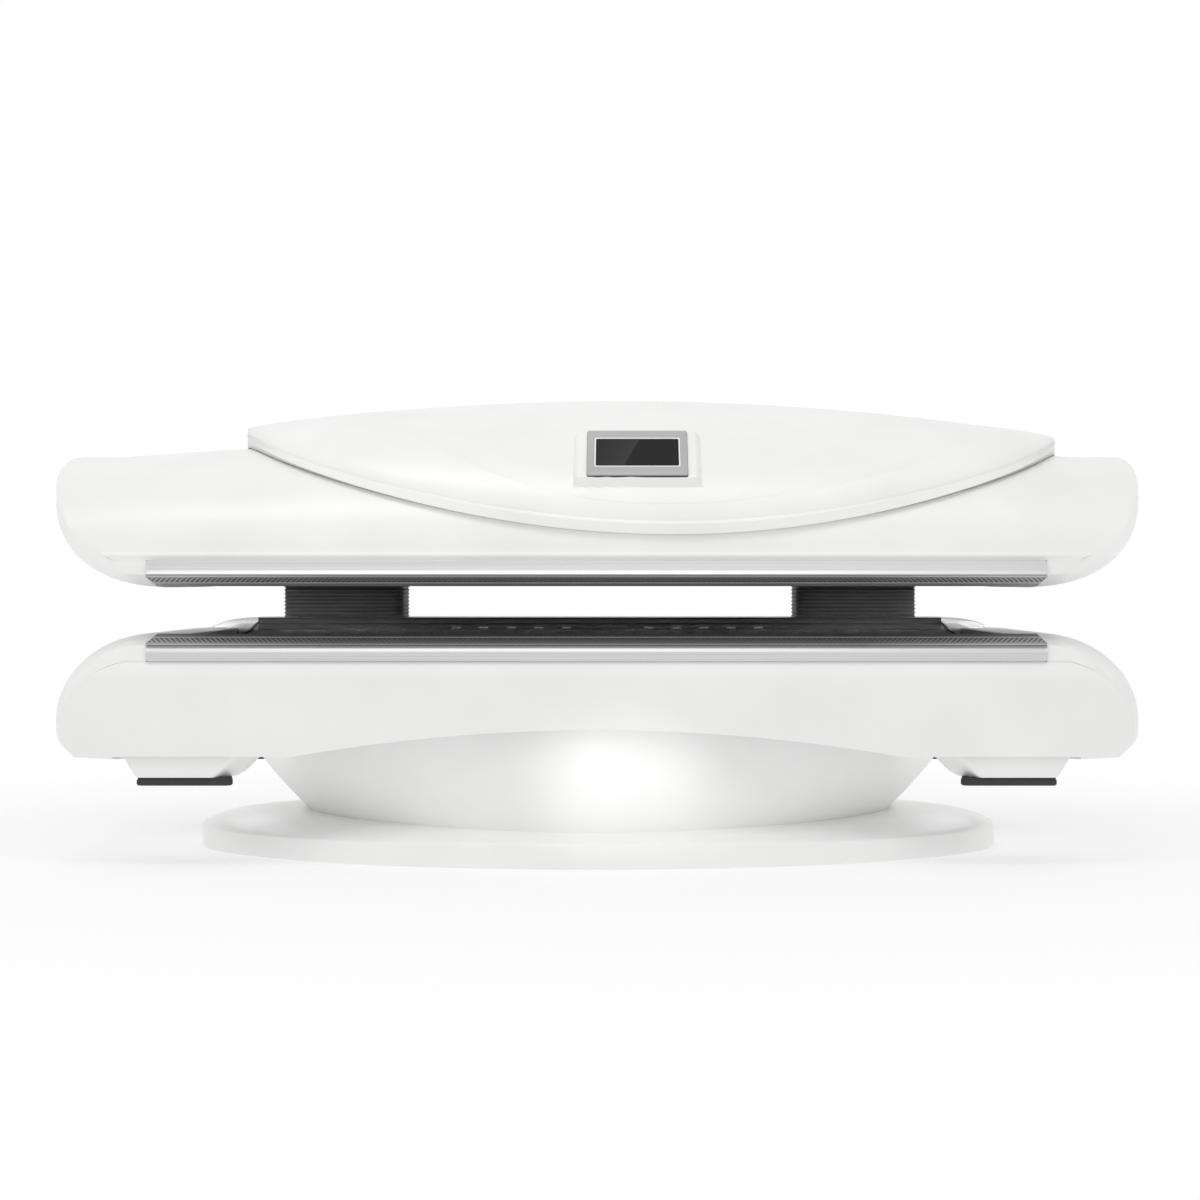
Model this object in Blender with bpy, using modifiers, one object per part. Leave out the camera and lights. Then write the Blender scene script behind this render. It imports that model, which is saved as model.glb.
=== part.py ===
"""Red light therapy bed: a tub on a waisted pedestal, and a canopy that two telescopic columns lift.

Metres, +Z up. X runs along the bed, -Y is the front, the origin is on the floor under the centre.
"""

import math

import bmesh
import bpy
import numpy as np
from mathutils import Euler, Vector

# Clearances
SEAT_GAP = 0.0003  # between a piece and what carries it
SEAM = 0.0010  # between two moulded shells
SLIDE_GAP = 0.0005  # between two telescopic tubes

# Moulded shells
SHELL_WALL = 0.004
END_TAPER = 0.180  # depth over which an end grows from its seam to its full length
END_TAPER_POWER = 1.6  # higher makes the end leave the seam more steeply
END_EDGE_FADE = 0.110  # length over which an end's edge fades from the trim's profile into the taper
EDGE_ROUND = 0.002  # rounding of small metal and plastic edges

# Outside of the tub, from which the other lengths and depths follow
TUB_HALF_LENGTH = 0.958
TUB_HALF_DEPTH = 0.430
PEDESTAL_END_INSET = 0.433  # of the pedestal's foot behind the tub's ends and long faces
PEDESTAL_SIDE_INSET = 0.038
DISC_REACH_LENGTH = 0.214  # of the disc beyond the pedestal's foot
DISC_REACH_DEPTH = 0.038
PAN_END_INSET = 0.158
PAN_SIDE_INSET = 0.024
TRIM_END_INSET = 0.191
TRIM_TO_TUNNEL = 0.055  # thickness of the blocks that close the lamp tunnel
TUNNEL_TO_STRIP = 0.027
LIP_DEPTH = 0.108
HOUSING_DEPTH = 0.190
COLUMN_INSET = 0.105
CANOPY_OVERHANG = 0.003  # of the canopy's ends over the tub's
CANOPY_SETBACK = 0.012  # of the canopy's long faces behind the trims

# Pedestal
PEDESTAL_FOOT_HALF_LENGTH = TUB_HALF_LENGTH - PEDESTAL_END_INSET
PEDESTAL_FOOT_HALF_DEPTH = TUB_HALF_DEPTH - PEDESTAL_SIDE_INSET
PEDESTAL_FLARE_LENGTH = 0.145
PEDESTAL_FLARE_DEPTH = 0.006
PEDESTAL_FLARE_POWER = 1.35  # higher makes the flare steeper at the head
PEDESTAL_WALL = 0.005
PEDESTAL_PLAN_POWER = 2.0
POST_END_ROOM = 0.205
POST_SIDE_ROOM = 0.212
RAIL_END_ROOM = 0.025
RAIL_SIDE_ROOM = 0.242
POST_X = PEDESTAL_FOOT_HALF_LENGTH - POST_END_ROOM
POST_LENGTH = 0.080
POST_DEPTH = 2 * (PEDESTAL_FOOT_HALF_DEPTH - POST_SIDE_ROOM)
FRAME_WALL = 0.004
RAIL_HALF_LENGTH = PEDESTAL_FOOT_HALF_LENGTH - RAIL_END_ROOM
RAIL_Y = PEDESTAL_FOOT_HALF_DEPTH - RAIL_SIDE_ROOM
RAIL_SIZE = 0.040

# Foot disc
DISC_HALF_LENGTH = PEDESTAL_FOOT_HALF_LENGTH + DISC_REACH_LENGTH
DISC_HALF_DEPTH = PEDESTAL_FOOT_HALF_DEPTH + DISC_REACH_DEPTH
DISC_RIM = 0.043
DISC_THICKNESS = 0.061

# Lamp tunnel's ends
TRIM_HALF_LENGTH = TUB_HALF_LENGTH - TRIM_END_INSET
TUNNEL_HALF_LENGTH = TRIM_HALF_LENGTH - TRIM_TO_TUNNEL

# Floor pan and what stands on it
PAN_BOTTOM = 0.240
PAN_THICKNESS = 0.004
PAN_HALF_LENGTH = TUB_HALF_LENGTH - PAN_END_INSET
PAN_HALF_DEPTH = TUB_HALF_DEPTH - PAN_SIDE_INSET
CROSSBAR_END_ROOM = 0.092
CROSSBAR_SIDE_ROOM = 0.046
CROSSBAR_X = TUNNEL_HALF_LENGTH - CROSSBAR_END_ROOM
CROSSBAR_WIDTH = 0.040
CROSSBAR_HALF_LENGTH = PAN_HALF_DEPTH - CROSSBAR_SIDE_ROOM
SUPPLY_X = 0.200
SUPPLY_Y = 0.160
SUPPLY_SIZE = (0.300, 0.090, 0.045)
FAN_X = -0.200
FAN_SIDE_ROOM = 0.186
FAN_Y = -(PAN_HALF_DEPTH - FAN_SIDE_ROOM)
FAN_SIZE = 0.120
FAN_THICKNESS = 0.025
FAN_BORE = 0.056
FAN_TIP_GAP = 0.002
FAN_HUB = 0.021
FAN_STRUT = 0.003
FAN_BLADES = 7

# Tub
SKIRT_TOP = 0.354
SKIRT_CREASE = 0.331
SKIRT_BOTTOM = 0.190
SKIRT_LEAN = 0.030
SKIRT_ARCH_TOP = 0.2365
SKIRT_ARCH_DROP = 0.1008  # of the lower edge from the middle to the start of the seam
TUB_CAP_WIDTH = 0.040  # of the end beyond the seam at its widest line
TUB_SEAM_REACH = 0.148
TUB_SEAM_X = TUB_HALF_LENGTH - TUB_CAP_WIDTH - TUB_SEAM_REACH
TUB_SEAM_Z = 0.233
TUB_SEAM_RISE = 0.125
TUB_SEAM_FALL = 0.080
TUB_END_REACH = 0.180
TUB_END_Z = 0.250
TUB_END_BOTTOM = 0.178
TUB_END_RETURN = 0.128
TUB_END_INNER_X = TUB_HALF_LENGTH - TUB_END_RETURN
TUB_END_TURN = -68  # degrees, where the end's outline leaves its lower curve

# Legs
LEG_BOTTOM = 0.154
LEG_KNEE = 0.194
LEG_FOOT_INSETS = (0.3334, 0.1655)  # of the leg's inner and outer side behind the tub's end
LEG_KNEE_INSETS = (0.373, 0.1415)
LEG_HEAD_INSETS = (0.386, 0.138)
LEG_SIDE_INSETS = (0.185, 0.038)
LEG_FOOT_X = tuple(TUB_HALF_LENGTH - inset for inset in LEG_FOOT_INSETS)
LEG_KNEE_X = tuple(TUB_HALF_LENGTH - inset for inset in LEG_KNEE_INSETS)
LEG_HEAD_X = tuple(TUB_HALF_LENGTH - inset for inset in LEG_HEAD_INSETS)
LEG_Y = tuple(TUB_HALF_DEPTH - inset for inset in LEG_SIDE_INSETS)
PAD_THICKNESS = 0.014
PAD_INSET = 0.004
LEG_PLAN_POWER = 8.0

# Trims and lips along the front
TRIM_THICKNESS = 0.015
LIP_REAR = TUB_HALF_DEPTH - LIP_DEPTH
LIP_THICKNESS_FRONT = 0.0025
LIP_THICKNESS_REAR = 0.006
TRIM_LOWER_HEIGHT = 0.0284  # from the skirt's top to the trim's
TRIM_UPPER_HEIGHT = 0.0254
LIP_RISE = 0.0176  # of the lower lip towards its rear, and the fall of the upper one
LIP_FALL = 0.0189
HALVES_APART = 0.0827  # between the two lips at their rear edges
LOWER_TRIM_TOP = SKIRT_TOP + TRIM_LOWER_HEIGHT
LOWER_CREST = LOWER_TRIM_TOP + LIP_RISE
UPPER_LIP_LOW = LOWER_CREST + HALVES_APART
UPPER_TRIM_BOTTOM = UPPER_LIP_LOW + LIP_FALL
UPPER_TRIM_TOP = UPPER_TRIM_BOTTOM + TRIM_UPPER_HEIGHT

# Trough and arch of lamps
HOUSING_FRONT = TUB_HALF_DEPTH - HOUSING_DEPTH
RAIL_STRIP = 0.004
RAIL_STRIP_HALF_LENGTH = TUNNEL_HALF_LENGTH - TUNNEL_TO_STRIP
RAIL_STRIP_HEIGHT = 0.024
RIM_DROP = 0.005
TROUGH_RIM = LOWER_CREST - RIM_DROP
TROUGH_DEPTH = 0.095
RIM_RISE = 0.0058
ARCH_RIM = UPPER_LIP_LOW + RIM_RISE
ARCH_RISE = 0.170
ACRYLIC = 0.005
LAMP_GAP = 0.010
TRAY = 0.003
END_BLOCK_MARGIN = 0.008
ARC_POINTS = 25

# Rear housing and lifting columns
HOUSING_RISE = 0.020
HOUSING_SLOPE_RISE = 0.015
HOUSING_TOP = LOWER_CREST + HOUSING_RISE
HOUSING_SHOULDER = HOUSING_TOP - HOUSING_SLOPE_RISE
HOUSING_SLOPE = 0.027
HOUSING_TOP_HALF_LENGTH = TRIM_HALF_LENGTH - HOUSING_SLOPE
COLUMN_END_ROOM = 0.205
COLUMN_X = TUNNEL_HALF_LENGTH - COLUMN_END_ROOM
COLUMN_Y = TUB_HALF_DEPTH - COLUMN_INSET
INNER_TUBE = (0.100, 0.060)
TUBE_WALL = 0.004
OUTER_TUBE_PROUD = 0.025
OUTER_TUBE_TOP = HOUSING_TOP + OUTER_TUBE_PROUD
TUBE_LIFT = 0.006  # step between the stages' lower ends
BELLOWS_SIZE = (0.240, 0.160)
BELLOWS_PLEAT = 0.020
BELLOWS_WALL = 0.002
BELLOWS_PLEATS = 7
BELLOWS_COLLAR = 0.0015
BELLOWS_PLAN_POWER = 7.0
COLUMN_TO_MOTOR = 0.107
MOTOR_X = COLUMN_X - COLUMN_TO_MOTOR
MOTOR_RADIUS = 0.030
MOTOR_HEIGHT = 0.095

# Power inlet with its rocker switch, in the rear skirt
INLET_END_ROOM = 0.112
INLET_X = -(TUNNEL_HALF_LENGTH - INLET_END_ROOM)
INLET_Z = 0.268
INLET_SIZE = (0.062, 0.030, 0.032)
INLET_SUNK = 0.006
INLET_BACK = TUB_HALF_DEPTH - INLET_SUNK
SOCKET_SIZE = (0.028, 0.018, 0.020)
SOCKET_X = -0.014
ROCKER_SIZE = (0.012, 0.008, 0.020)
ROCKER_X = 0.018
ROCKER_DISH = 0.002
ROCKER_KEEL_TURN = (205, 335)  # degrees of the round underside
ROCKER_ROOM = 0.003
ROCKER_SWING = 0.0008  # room above and below the rocker for its corners as it tips

# Canopy
CANOPY_HALF_DEPTH = TUB_HALF_DEPTH - CANOPY_SETBACK
CANOPY_HALF_LENGTH = TUB_HALF_LENGTH + CANOPY_OVERHANG
CANOPY_BASE_RISE = 0.014  # from the upper trim to the start of the arch
CANOPY_BASE = UPPER_TRIM_TOP + CANOPY_BASE_RISE
CANOPY_END_RISE = 0.181
CANOPY_CROWN = 0.034
CANOPY_CROWN_INSET = 0.086
CANOPY_CROWN_REACH = CANOPY_HALF_LENGTH - CANOPY_CROWN_INSET
CANOPY_ARCH_POWER = 2.2
CANOPY_CAP_WIDTH = 0.009  # of the end beyond the seam near the crest
CANOPY_SEAM_REACH = 0.205
CANOPY_SEAM_X = CANOPY_HALF_LENGTH - CANOPY_CAP_WIDTH - CANOPY_SEAM_REACH
CANOPY_SEAM_RISE = 0.189
CANOPY_SEAM_Z = CANOPY_BASE + CANOPY_SEAM_RISE
CANOPY_SEAM_DROP = 0.220
CANOPY_END_REACH = 0.210
CANOPY_END_MIDDLE = 0.104
CANOPY_END_HANG = 0.0052  # of the end under the lips
CANOPY_END_Z = CANOPY_BASE + CANOPY_END_MIDDLE
CANOPY_END_BOTTOM = UPPER_LIP_LOW - CANOPY_END_HANG
CANOPY_TOP_TUCK = 0.003
CANOPY_END_POWER = 2.35
CANOPY_END_TURN = -80  # degrees, where the end's outline starts its lower curve
SILL_THICKNESS = 0.004
BEAM_END_ROOM = 0.067
BEAM_HALF_LENGTH = TRIM_HALF_LENGTH - BEAM_END_ROOM
BEAM_SIZE = (0.080, 0.040)

# Hood on the canopy
HOOD_TIP_INSETS = (0.303, 0.107)  # of the left and the right tip behind the canopy's ends
HOOD_TIPS = (HOOD_TIP_INSETS[0] - CANOPY_HALF_LENGTH, CANOPY_HALF_LENGTH - HOOD_TIP_INSETS[1])
HOOD_MIDDLE = sum(HOOD_TIPS) / 2
HOOD_HALF_LENGTH = (HOOD_TIPS[1] - HOOD_TIPS[0]) / 2
HOOD_RIDGE_X = 0.040
HOOD_RIDGE_RISE = 0.287
HOOD_RIDGE_TOP = CANOPY_BASE + HOOD_RIDGE_RISE
HOOD_RIDGE_DROP = 0.0580  # of the ridge at half the hood's length from its highest place
HOOD_FRONT_X = 0.135
HOOD_FRONT_RISE = 0.029
HOOD_FRONT_LOW = CANOPY_BASE + HOOD_FRONT_RISE
HOOD_REAR_LIFT = 0.070
HOOD_TIP_DROP = 0.0005  # of the hood's edge below the canopy's crest at the tips
HOOD_BAND = (0.012, 0.010)  # how far the hood's edge stands off the canopy, and how much further at the tips
HOOD_BAND_WIDTH = 0.020  # of the band along the hood's edge
HOOD_BAND_FOOT = (0.008, 0.007)  # the same for the band's lower line
HOOD_SEAT = 0.0017
HOOD_TIP_POWER = 24.0  # higher makes the tips blunter
HOOD_FACE_POWER = 1.65  # lower makes the face lean back more at its foot

# Display in the hood
DISPLAY_X = 0.070
DISPLAY_RISE = 0.145  # of the middle of the display above the hood's lower edge
BEZEL_SIZE = (0.174, 0.122, 0.014)
BEZEL_PROUD = 0.005
SCREEN_SIZE = (0.150, 0.080, 0.006)
SCREEN_SUNK = 0.001
BOARD_SIZE = (0.160, 0.100, 0.003)

SIDES = {"left": -1, "right": 1}


# Scene, materials and small makers


def clear_scene():
    for obj in list(bpy.data.objects):
        bpy.data.objects.remove(obj)


def new_collection(name):
    collection = bpy.data.collections.new(name)
    bpy.context.scene.collection.children.link(collection)
    return collection


def hex_colour(code):
    channels = [int(code[i : i + 2], 16) / 255 for i in (0, 2, 4)]
    linear = [c / 12.92 if c <= 0.04045 else ((c + 0.055) / 1.055) ** 2.4 for c in channels]
    return (*linear, 1.0)


def new_material(name, colour, roughness, metallic=0.0):
    material = bpy.data.materials.new(name)
    material.use_nodes = True
    shader = material.node_tree.nodes["Principled BSDF"]
    shader.inputs["Base Color"].default_value = hex_colour(colour)
    shader.inputs["Roughness"].default_value = roughness
    shader.inputs["Metallic"].default_value = metallic
    return material


clear_scene()
PARTS = new_collection("red_light_therapy_bed")
CUTTERS = new_collection("cutters")
WHITE = new_material("white_abs", "eeeeed", 0.25)
GREY = new_material("grey_abs", "d4d4d2", 0.4)
TRIM = new_material("bright_aluminium", "d0d0d0", 0.2, 1.0)
LIP = new_material("dark_lip", "5c5c5c", 0.6)
RUBBER = new_material("black_rubber", "2b2b2b", 0.7)
CLEAR = new_material("clear_acrylic", "f2f2f2", 0.05)
TRAY_METAL = new_material("lamp_tray", "3a3a3c", 0.5, 0.1)
STEEL = new_material("painted_steel", "8a8d90", 0.45, 0.3)
BARE_STEEL = new_material("column_steel", "b9bcc0", 0.3, 1.0)
BLACK = new_material("black_plastic", "202020", 0.5)
BEZEL = new_material("bezel_grey", "bcbcbc", 0.35)
GLASS = new_material("screen_glass", "303030", 0.08)
BOARD = new_material("circuit_board", "2c5a3a", 0.5)


def add(name, data, material, collection=PARTS):
    obj = bpy.data.objects.new(name, data)
    collection.objects.link(obj)
    obj.data.materials.append(material)
    return obj


def smooth(obj, angle=35):
    obj.data.shade_smooth()
    obj.data.set_sharp_from_angle(angle=math.radians(angle))
    return obj


def mesh_from(name, points, faces):
    mesh = bpy.data.meshes.new(name)
    mesh.from_pydata([tuple(p) for p in points], [], faces)
    return mesh


def box(name, low, high, material, bevel=0.0, collection=PARTS):
    """A box between two corners, its edges rounded by bevel."""
    mesh = bpy.data.meshes.new(name)
    shape = bmesh.new()
    bmesh.ops.create_cube(shape, size=1.0)
    size = Vector(high) - Vector(low)
    bmesh.ops.scale(shape, vec=size, verts=shape.verts)
    shape.to_mesh(mesh)
    shape.free()
    obj = add(name, mesh, material, collection)
    obj.location = (Vector(low) + Vector(high)) / 2
    if bevel:
        rounding = obj.modifiers.new("rounding", "BEVEL")
        rounding.width = bevel
        rounding.segments = 2
    return obj


def outline_curve(name, outlines, half_thickness, material):
    """A flat outline, with any holes as further outlines, filled and given its thickness along local Z."""
    curve = bpy.data.curves.new(name, "CURVE")
    curve.dimensions = "2D"
    curve.fill_mode = "BOTH"
    curve.extrude = half_thickness
    for outline in outlines:
        spline = curve.splines.new("POLY")
        spline.points.add(len(outline) - 1)
        for point, (x, y) in zip(spline.points, outline):
            point.co = (x, y, 0.0, 1.0)
        spline.use_cyclic_u = True
    return add(name, curve, material)


def along_x(name, outlines, x_range, material):
    """A (Y, Z) outline with its holes, carried along X."""
    obj = outline_curve(name, outlines, (x_range[1] - x_range[0]) / 2, material)
    obj.rotation_euler = Euler((math.pi / 2, 0, math.pi / 2))
    obj.location.x = sum(x_range) / 2
    return obj


def along_y(name, outline, y_range, material):
    """An (X, Z) outline carried along Y."""
    obj = outline_curve(name, [outline], (y_range[1] - y_range[0]) / 2, material)
    obj.rotation_euler = Euler((math.pi / 2, 0, 0))
    obj.location.y = sum(y_range) / 2
    return obj


def along_z(name, outlines, centre, z_range, material):
    """An (X, Y) outline with its holes, carried along Z."""
    obj = outline_curve(name, outlines, (z_range[1] - z_range[0]) / 2, material)
    obj.location = (*centre, sum(z_range) / 2)
    return obj


def made_mesh(curve_obj):
    """The curve object as a welded mesh object of the same name and place, so that it can be cut."""
    bpy.context.view_layer.update()
    graph = bpy.context.evaluated_depsgraph_get()
    mesh = bpy.data.meshes.new_from_object(curve_obj.evaluated_get(graph))
    shape = bmesh.new()
    shape.from_mesh(mesh)
    bmesh.ops.remove_doubles(shape, verts=shape.verts, dist=1e-6)
    bmesh.ops.recalc_face_normals(shape, faces=shape.faces)
    shape.to_mesh(mesh)
    shape.free()
    name = curve_obj.name
    place = curve_obj.matrix_world.copy()
    bpy.data.objects.remove(curve_obj)
    obj = bpy.data.objects.new(name, mesh)
    PARTS.objects.link(obj)
    obj.matrix_world = place
    return obj


def combine(obj, other, operation):
    """A Boolean of obj with a helper, which the finished object doesn't show."""
    for collection in list(other.users_collection):
        collection.objects.unlink(other)
    CUTTERS.objects.link(other)
    other.hide_render = True
    other.display_type = "WIRE"
    boolean = obj.modifiers.new(operation.lower(), "BOOLEAN")
    boolean.operation = operation
    boolean.object = other


def rectangle(half_x, half_y):
    return [(-half_x, -half_y), (half_x, -half_y), (half_x, half_y), (-half_x, half_y)]


def circle(radius, count):
    angles = np.linspace(0, 2 * math.pi, count, endpoint=False)
    return [(radius * math.cos(a), radius * math.sin(a)) for a in angles]


def superellipse(half_x, half_y, power, count):
    """Points of |x/a|^n + |y/b|^n = 1, anticlockwise."""
    angle = np.linspace(0, 2 * math.pi, count, endpoint=False)
    x = half_x * np.sign(np.cos(angle)) * np.abs(np.cos(angle)) ** (2 / power)
    y = half_y * np.sign(np.sin(angle)) * np.abs(np.sin(angle)) ** (2 / power)
    return np.stack([x, y], axis=1)


def at_height(plan, z):
    return np.column_stack([plan, np.full(len(plan), z)])


def grid_faces(rows, columns, closed=False):
    last = columns if closed else columns - 1
    faces = []
    for i in range(rows - 1):
        for j in range(last):
            k = (j + 1) % columns
            faces.append((i * columns + j, i * columns + k, (i + 1) * columns + k, (i + 1) * columns + j))
    return faces


def loft(name, rings, material):
    """A solid through closed rings of equal count, anticlockwise from below to above, with flat ends."""
    rings = np.asarray(rings)
    rows, count = rings.shape[:2]
    faces = grid_faces(rows, count, closed=True)
    faces.append(tuple(reversed(range(count))))
    faces.append(tuple(range((rows - 1) * count, rows * count)))
    return smooth(add(name, mesh_from(name, rings.reshape(-1, 3), faces), material))


def hollow_loft(name, outer, inner, material):
    """A sleeve between outer rings and inner rings, both from below to above, with flat rims."""
    outer, inner = np.asarray(outer), np.asarray(inner)
    count = outer.shape[1]
    rings = np.concatenate([outer, inner[::-1], outer[:1]])
    faces = grid_faces(len(rings), count, closed=True)
    mesh = mesh_from(name, rings.reshape(-1, 3), faces)
    shape = bmesh.new()
    shape.from_mesh(mesh)
    bmesh.ops.remove_doubles(shape, verts=shape.verts, dist=1e-6)
    shape.to_mesh(mesh)
    shape.free()
    return smooth(add(name, mesh, material))


def shell(name, grid, wall, material, inside):
    """An open surface through a grid of points, with its wall on the side of the point inside."""
    grid = np.asarray(grid)
    rows, columns = grid.shape[:2]
    mesh = mesh_from(name, grid.reshape(-1, 3), grid_faces(rows, columns))
    shape = bmesh.new()
    shape.from_mesh(mesh)
    bmesh.ops.remove_doubles(shape, verts=shape.verts, dist=1e-5)
    bmesh.ops.recalc_face_normals(shape, faces=shape.faces)
    centre = Vector(inside)
    outward = sum((f.calc_center_median() - centre).dot(f.normal) * f.calc_area() for f in shape.faces)
    if outward < 0:
        bmesh.ops.reverse_faces(shape, faces=shape.faces)
    shape.to_mesh(mesh)
    shape.free()
    obj = smooth(add(name, mesh, material))
    thickness = obj.modifiers.new("wall", "SOLIDIFY")
    thickness.thickness = wall
    thickness.offset = -1.0
    return obj


def between(name, outer, inner, material):
    """A moulding between an outer and an inner grid of points. A last row with no depth needs no rim."""
    rows, columns = outer.shape[:2]
    face_list = grid_faces(rows, columns)
    step = rows * columns
    face_list += [tuple(step + i for i in reversed(face)) for face in face_list]
    face_list += [(j + 1, j, step + j, step + j + 1) for j in range(columns - 1)]
    if np.ptp(outer[-1, :, 1]) > SEAM:
        for j in range(step - columns, step - 1):
            face_list.append((j, j + 1, step + j + 1, step + j))
    for column, way in ((0, 1), (columns - 1, -1)):
        for i in range(rows - 1):
            a, b = i * columns + column, (i + 1) * columns + column
            face_list.append((a, b, step + b, step + a)[::way])
    mesh = mesh_from(name, np.concatenate([outer.reshape(-1, 3), inner.reshape(-1, 3)]), face_list)
    shape = bmesh.new()
    shape.from_mesh(mesh)
    bmesh.ops.remove_doubles(shape, verts=shape.verts, dist=1e-5)
    bmesh.ops.recalc_face_normals(shape, faces=shape.faces)
    shape.to_mesh(mesh)
    shape.free()
    return smooth(add(name, mesh, material))


def square_tube(name, size, wall, centre, z_range, material):
    outer = rectangle(size[0] / 2, size[1] / 2)
    bore = rectangle(size[0] / 2 - wall, size[1] / 2 - wall)
    return along_z(name, [outer, bore], centre, z_range, material)


# Foot and pedestal


def disc_rings():
    """Ellipses up the rim and round its upper edge, a quarter circle of the height above the rim."""
    edge = DISC_THICKNESS - DISC_RIM
    insets = [(0.0, 0.0), (0.0, DISC_RIM)]
    for angle in np.radians((30, 60, 90)):
        insets.append((edge * (1 - math.cos(angle)), DISC_RIM + edge * math.sin(angle)))
    return [
        at_height(superellipse(DISC_HALF_LENGTH - inset, DISC_HALF_DEPTH - inset, 2.0, 64), z)
        for inset, z in insets
    ]


def pedestal_rings(wall):
    """Plan sections whose half sizes grow from the foot to the head, fastest at the foot."""
    low = DISC_THICKNESS + SEAT_GAP
    high = PAN_BOTTOM - SEAT_GAP
    rings = []
    for t in np.linspace(0, 1, 7):
        flare = 1 - (1 - t) ** PEDESTAL_FLARE_POWER
        half_x = PEDESTAL_FOOT_HALF_LENGTH + PEDESTAL_FLARE_LENGTH * flare - wall
        half_y = PEDESTAL_FOOT_HALF_DEPTH + PEDESTAL_FLARE_DEPTH * flare - wall
        rings.append(at_height(superellipse(half_x, half_y, PEDESTAL_PLAN_POWER, 40), low + t * (high - low)))
    return rings


def make_foot():
    loft("base_disc", disc_rings(), WHITE)
    hollow_loft("pedestal_shell", pedestal_rings(0.0), pedestal_rings(PEDESTAL_WALL), WHITE)
    rail_top = PAN_BOTTOM - SEAT_GAP
    rail_bottom = rail_top - RAIL_SIZE
    post_range = (DISC_THICKNESS + SEAT_GAP, rail_bottom - SEAT_GAP)
    for side, sign in SIDES.items():
        centre = (sign * POST_X, 0.0)
        square_tube(f"pedestal_post_{side}", (POST_LENGTH, POST_DEPTH), FRAME_WALL, centre, post_range, STEEL)
    half = RAIL_SIZE / 2
    for row, sign in {"front": -1, "rear": 1}.items():
        outline = rectangle(half, half)
        bore = rectangle(half - FRAME_WALL, half - FRAME_WALL)
        rail = along_x(f"bed_rail_{row}", [outline, bore], (-RAIL_HALF_LENGTH, RAIL_HALF_LENGTH), STEEL)
        rail.location.y = sign * RAIL_Y
        rail.location.z = rail_top - half


# Tub shells


def skirt_depth(z):
    """Half depth of the tub's long faces: upright above the crease, leaning in below it."""
    drop = np.clip((SKIRT_CREASE - z) / (SKIRT_CREASE - SKIRT_BOTTOM), 0, 1)
    return TUB_HALF_DEPTH - SKIRT_LEAN * drop


def tub_seam_x(z):
    """Half length of the tub's long faces at a height: an ellipse above its widest line and one below."""
    rise = np.where(z > TUB_SEAM_Z, TUB_SEAM_RISE, TUB_SEAM_FALL)
    return TUB_SEAM_X + TUB_SEAM_REACH * np.sqrt(np.clip(1 - ((z - TUB_SEAM_Z) / rise) ** 2, 0, 1))


def skirt_heights():
    """Heights of the points along a skirt's end, from its top edge down: above and below its widest line."""
    above = [SKIRT_TOP, (SKIRT_TOP + SKIRT_CREASE) / 2, *np.linspace(SKIRT_CREASE, TUB_SEAM_Z, 6)]
    below = np.linspace(TUB_SEAM_Z, SKIRT_BOTTOM, 4)[1:]
    return np.array(above), below


def skirt_grid(sign):
    """Level rows above the crease, and below it rows that follow the arch of the lower edge."""
    u = np.linspace(-1, 1, 19)
    end_z = np.concatenate(skirt_heights())
    along = u * tub_seam_x(SKIRT_BOTTOM) / TUB_SEAM_X
    bottom = np.maximum(SKIRT_BOTTOM, SKIRT_ARCH_TOP - SKIRT_ARCH_DROP * along**2)
    share = np.clip((SKIRT_CREASE - end_z) / (SKIRT_CREASE - SKIRT_BOTTOM), 0, 1)
    z = end_z[:, None] + share[:, None] * (bottom[None, :] - SKIRT_BOTTOM)
    x = u[None, :] * (tub_seam_x(end_z)[:, None] - SEAM)
    return np.stack([x, sign * skirt_depth(z), z], axis=-1)


def tub_end_paths(wall):
    """(X, Z) lines of the seam and of the end's outline, point for point, from the top round to below,
    with the half depth at each. wall moves them inwards.
    """
    above, below = skirt_heights()
    heights = np.concatenate([above, below])
    apart = np.concatenate([np.full(len(above), SEAM), np.full(len(below), -SEAM)])
    apart[len(above) - 1] = 0.0
    curve = np.column_stack([tub_seam_x(heights), heights + apart])
    first, last = curve[0, 1], curve[-1, 1]
    seam = np.concatenate([[(TRIM_HALF_LENGTH + SEAM, first)], curve, [(TUB_END_INNER_X, last)]])
    middle, reach = TUB_HALF_LENGTH - TUB_END_REACH, TUB_END_REACH - wall
    top, bottom = LOWER_CREST - wall, TUB_END_BOTTOM + wall
    over = np.radians(np.linspace(90, 0, len(above)))
    under = np.radians(np.linspace(0, TUB_END_TURN, len(below) + 1))[1:]
    upper = np.column_stack(
        [middle + reach * np.cos(over), TUB_END_Z + (top - TUB_END_Z) * np.sin(over)]
    )
    lower = np.column_stack(
        [middle + reach * np.cos(under) ** 0.5, TUB_END_Z - (TUB_END_Z - bottom) * np.abs(np.sin(under)) ** 0.5]
    )
    start = [(TRIM_HALF_LENGTH + SEAM, top)]
    outline = np.concatenate([start, upper, lower, [(TUB_END_INNER_X, bottom)]])
    return seam, outline, skirt_depth(seam[:, 1]) - wall


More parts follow.
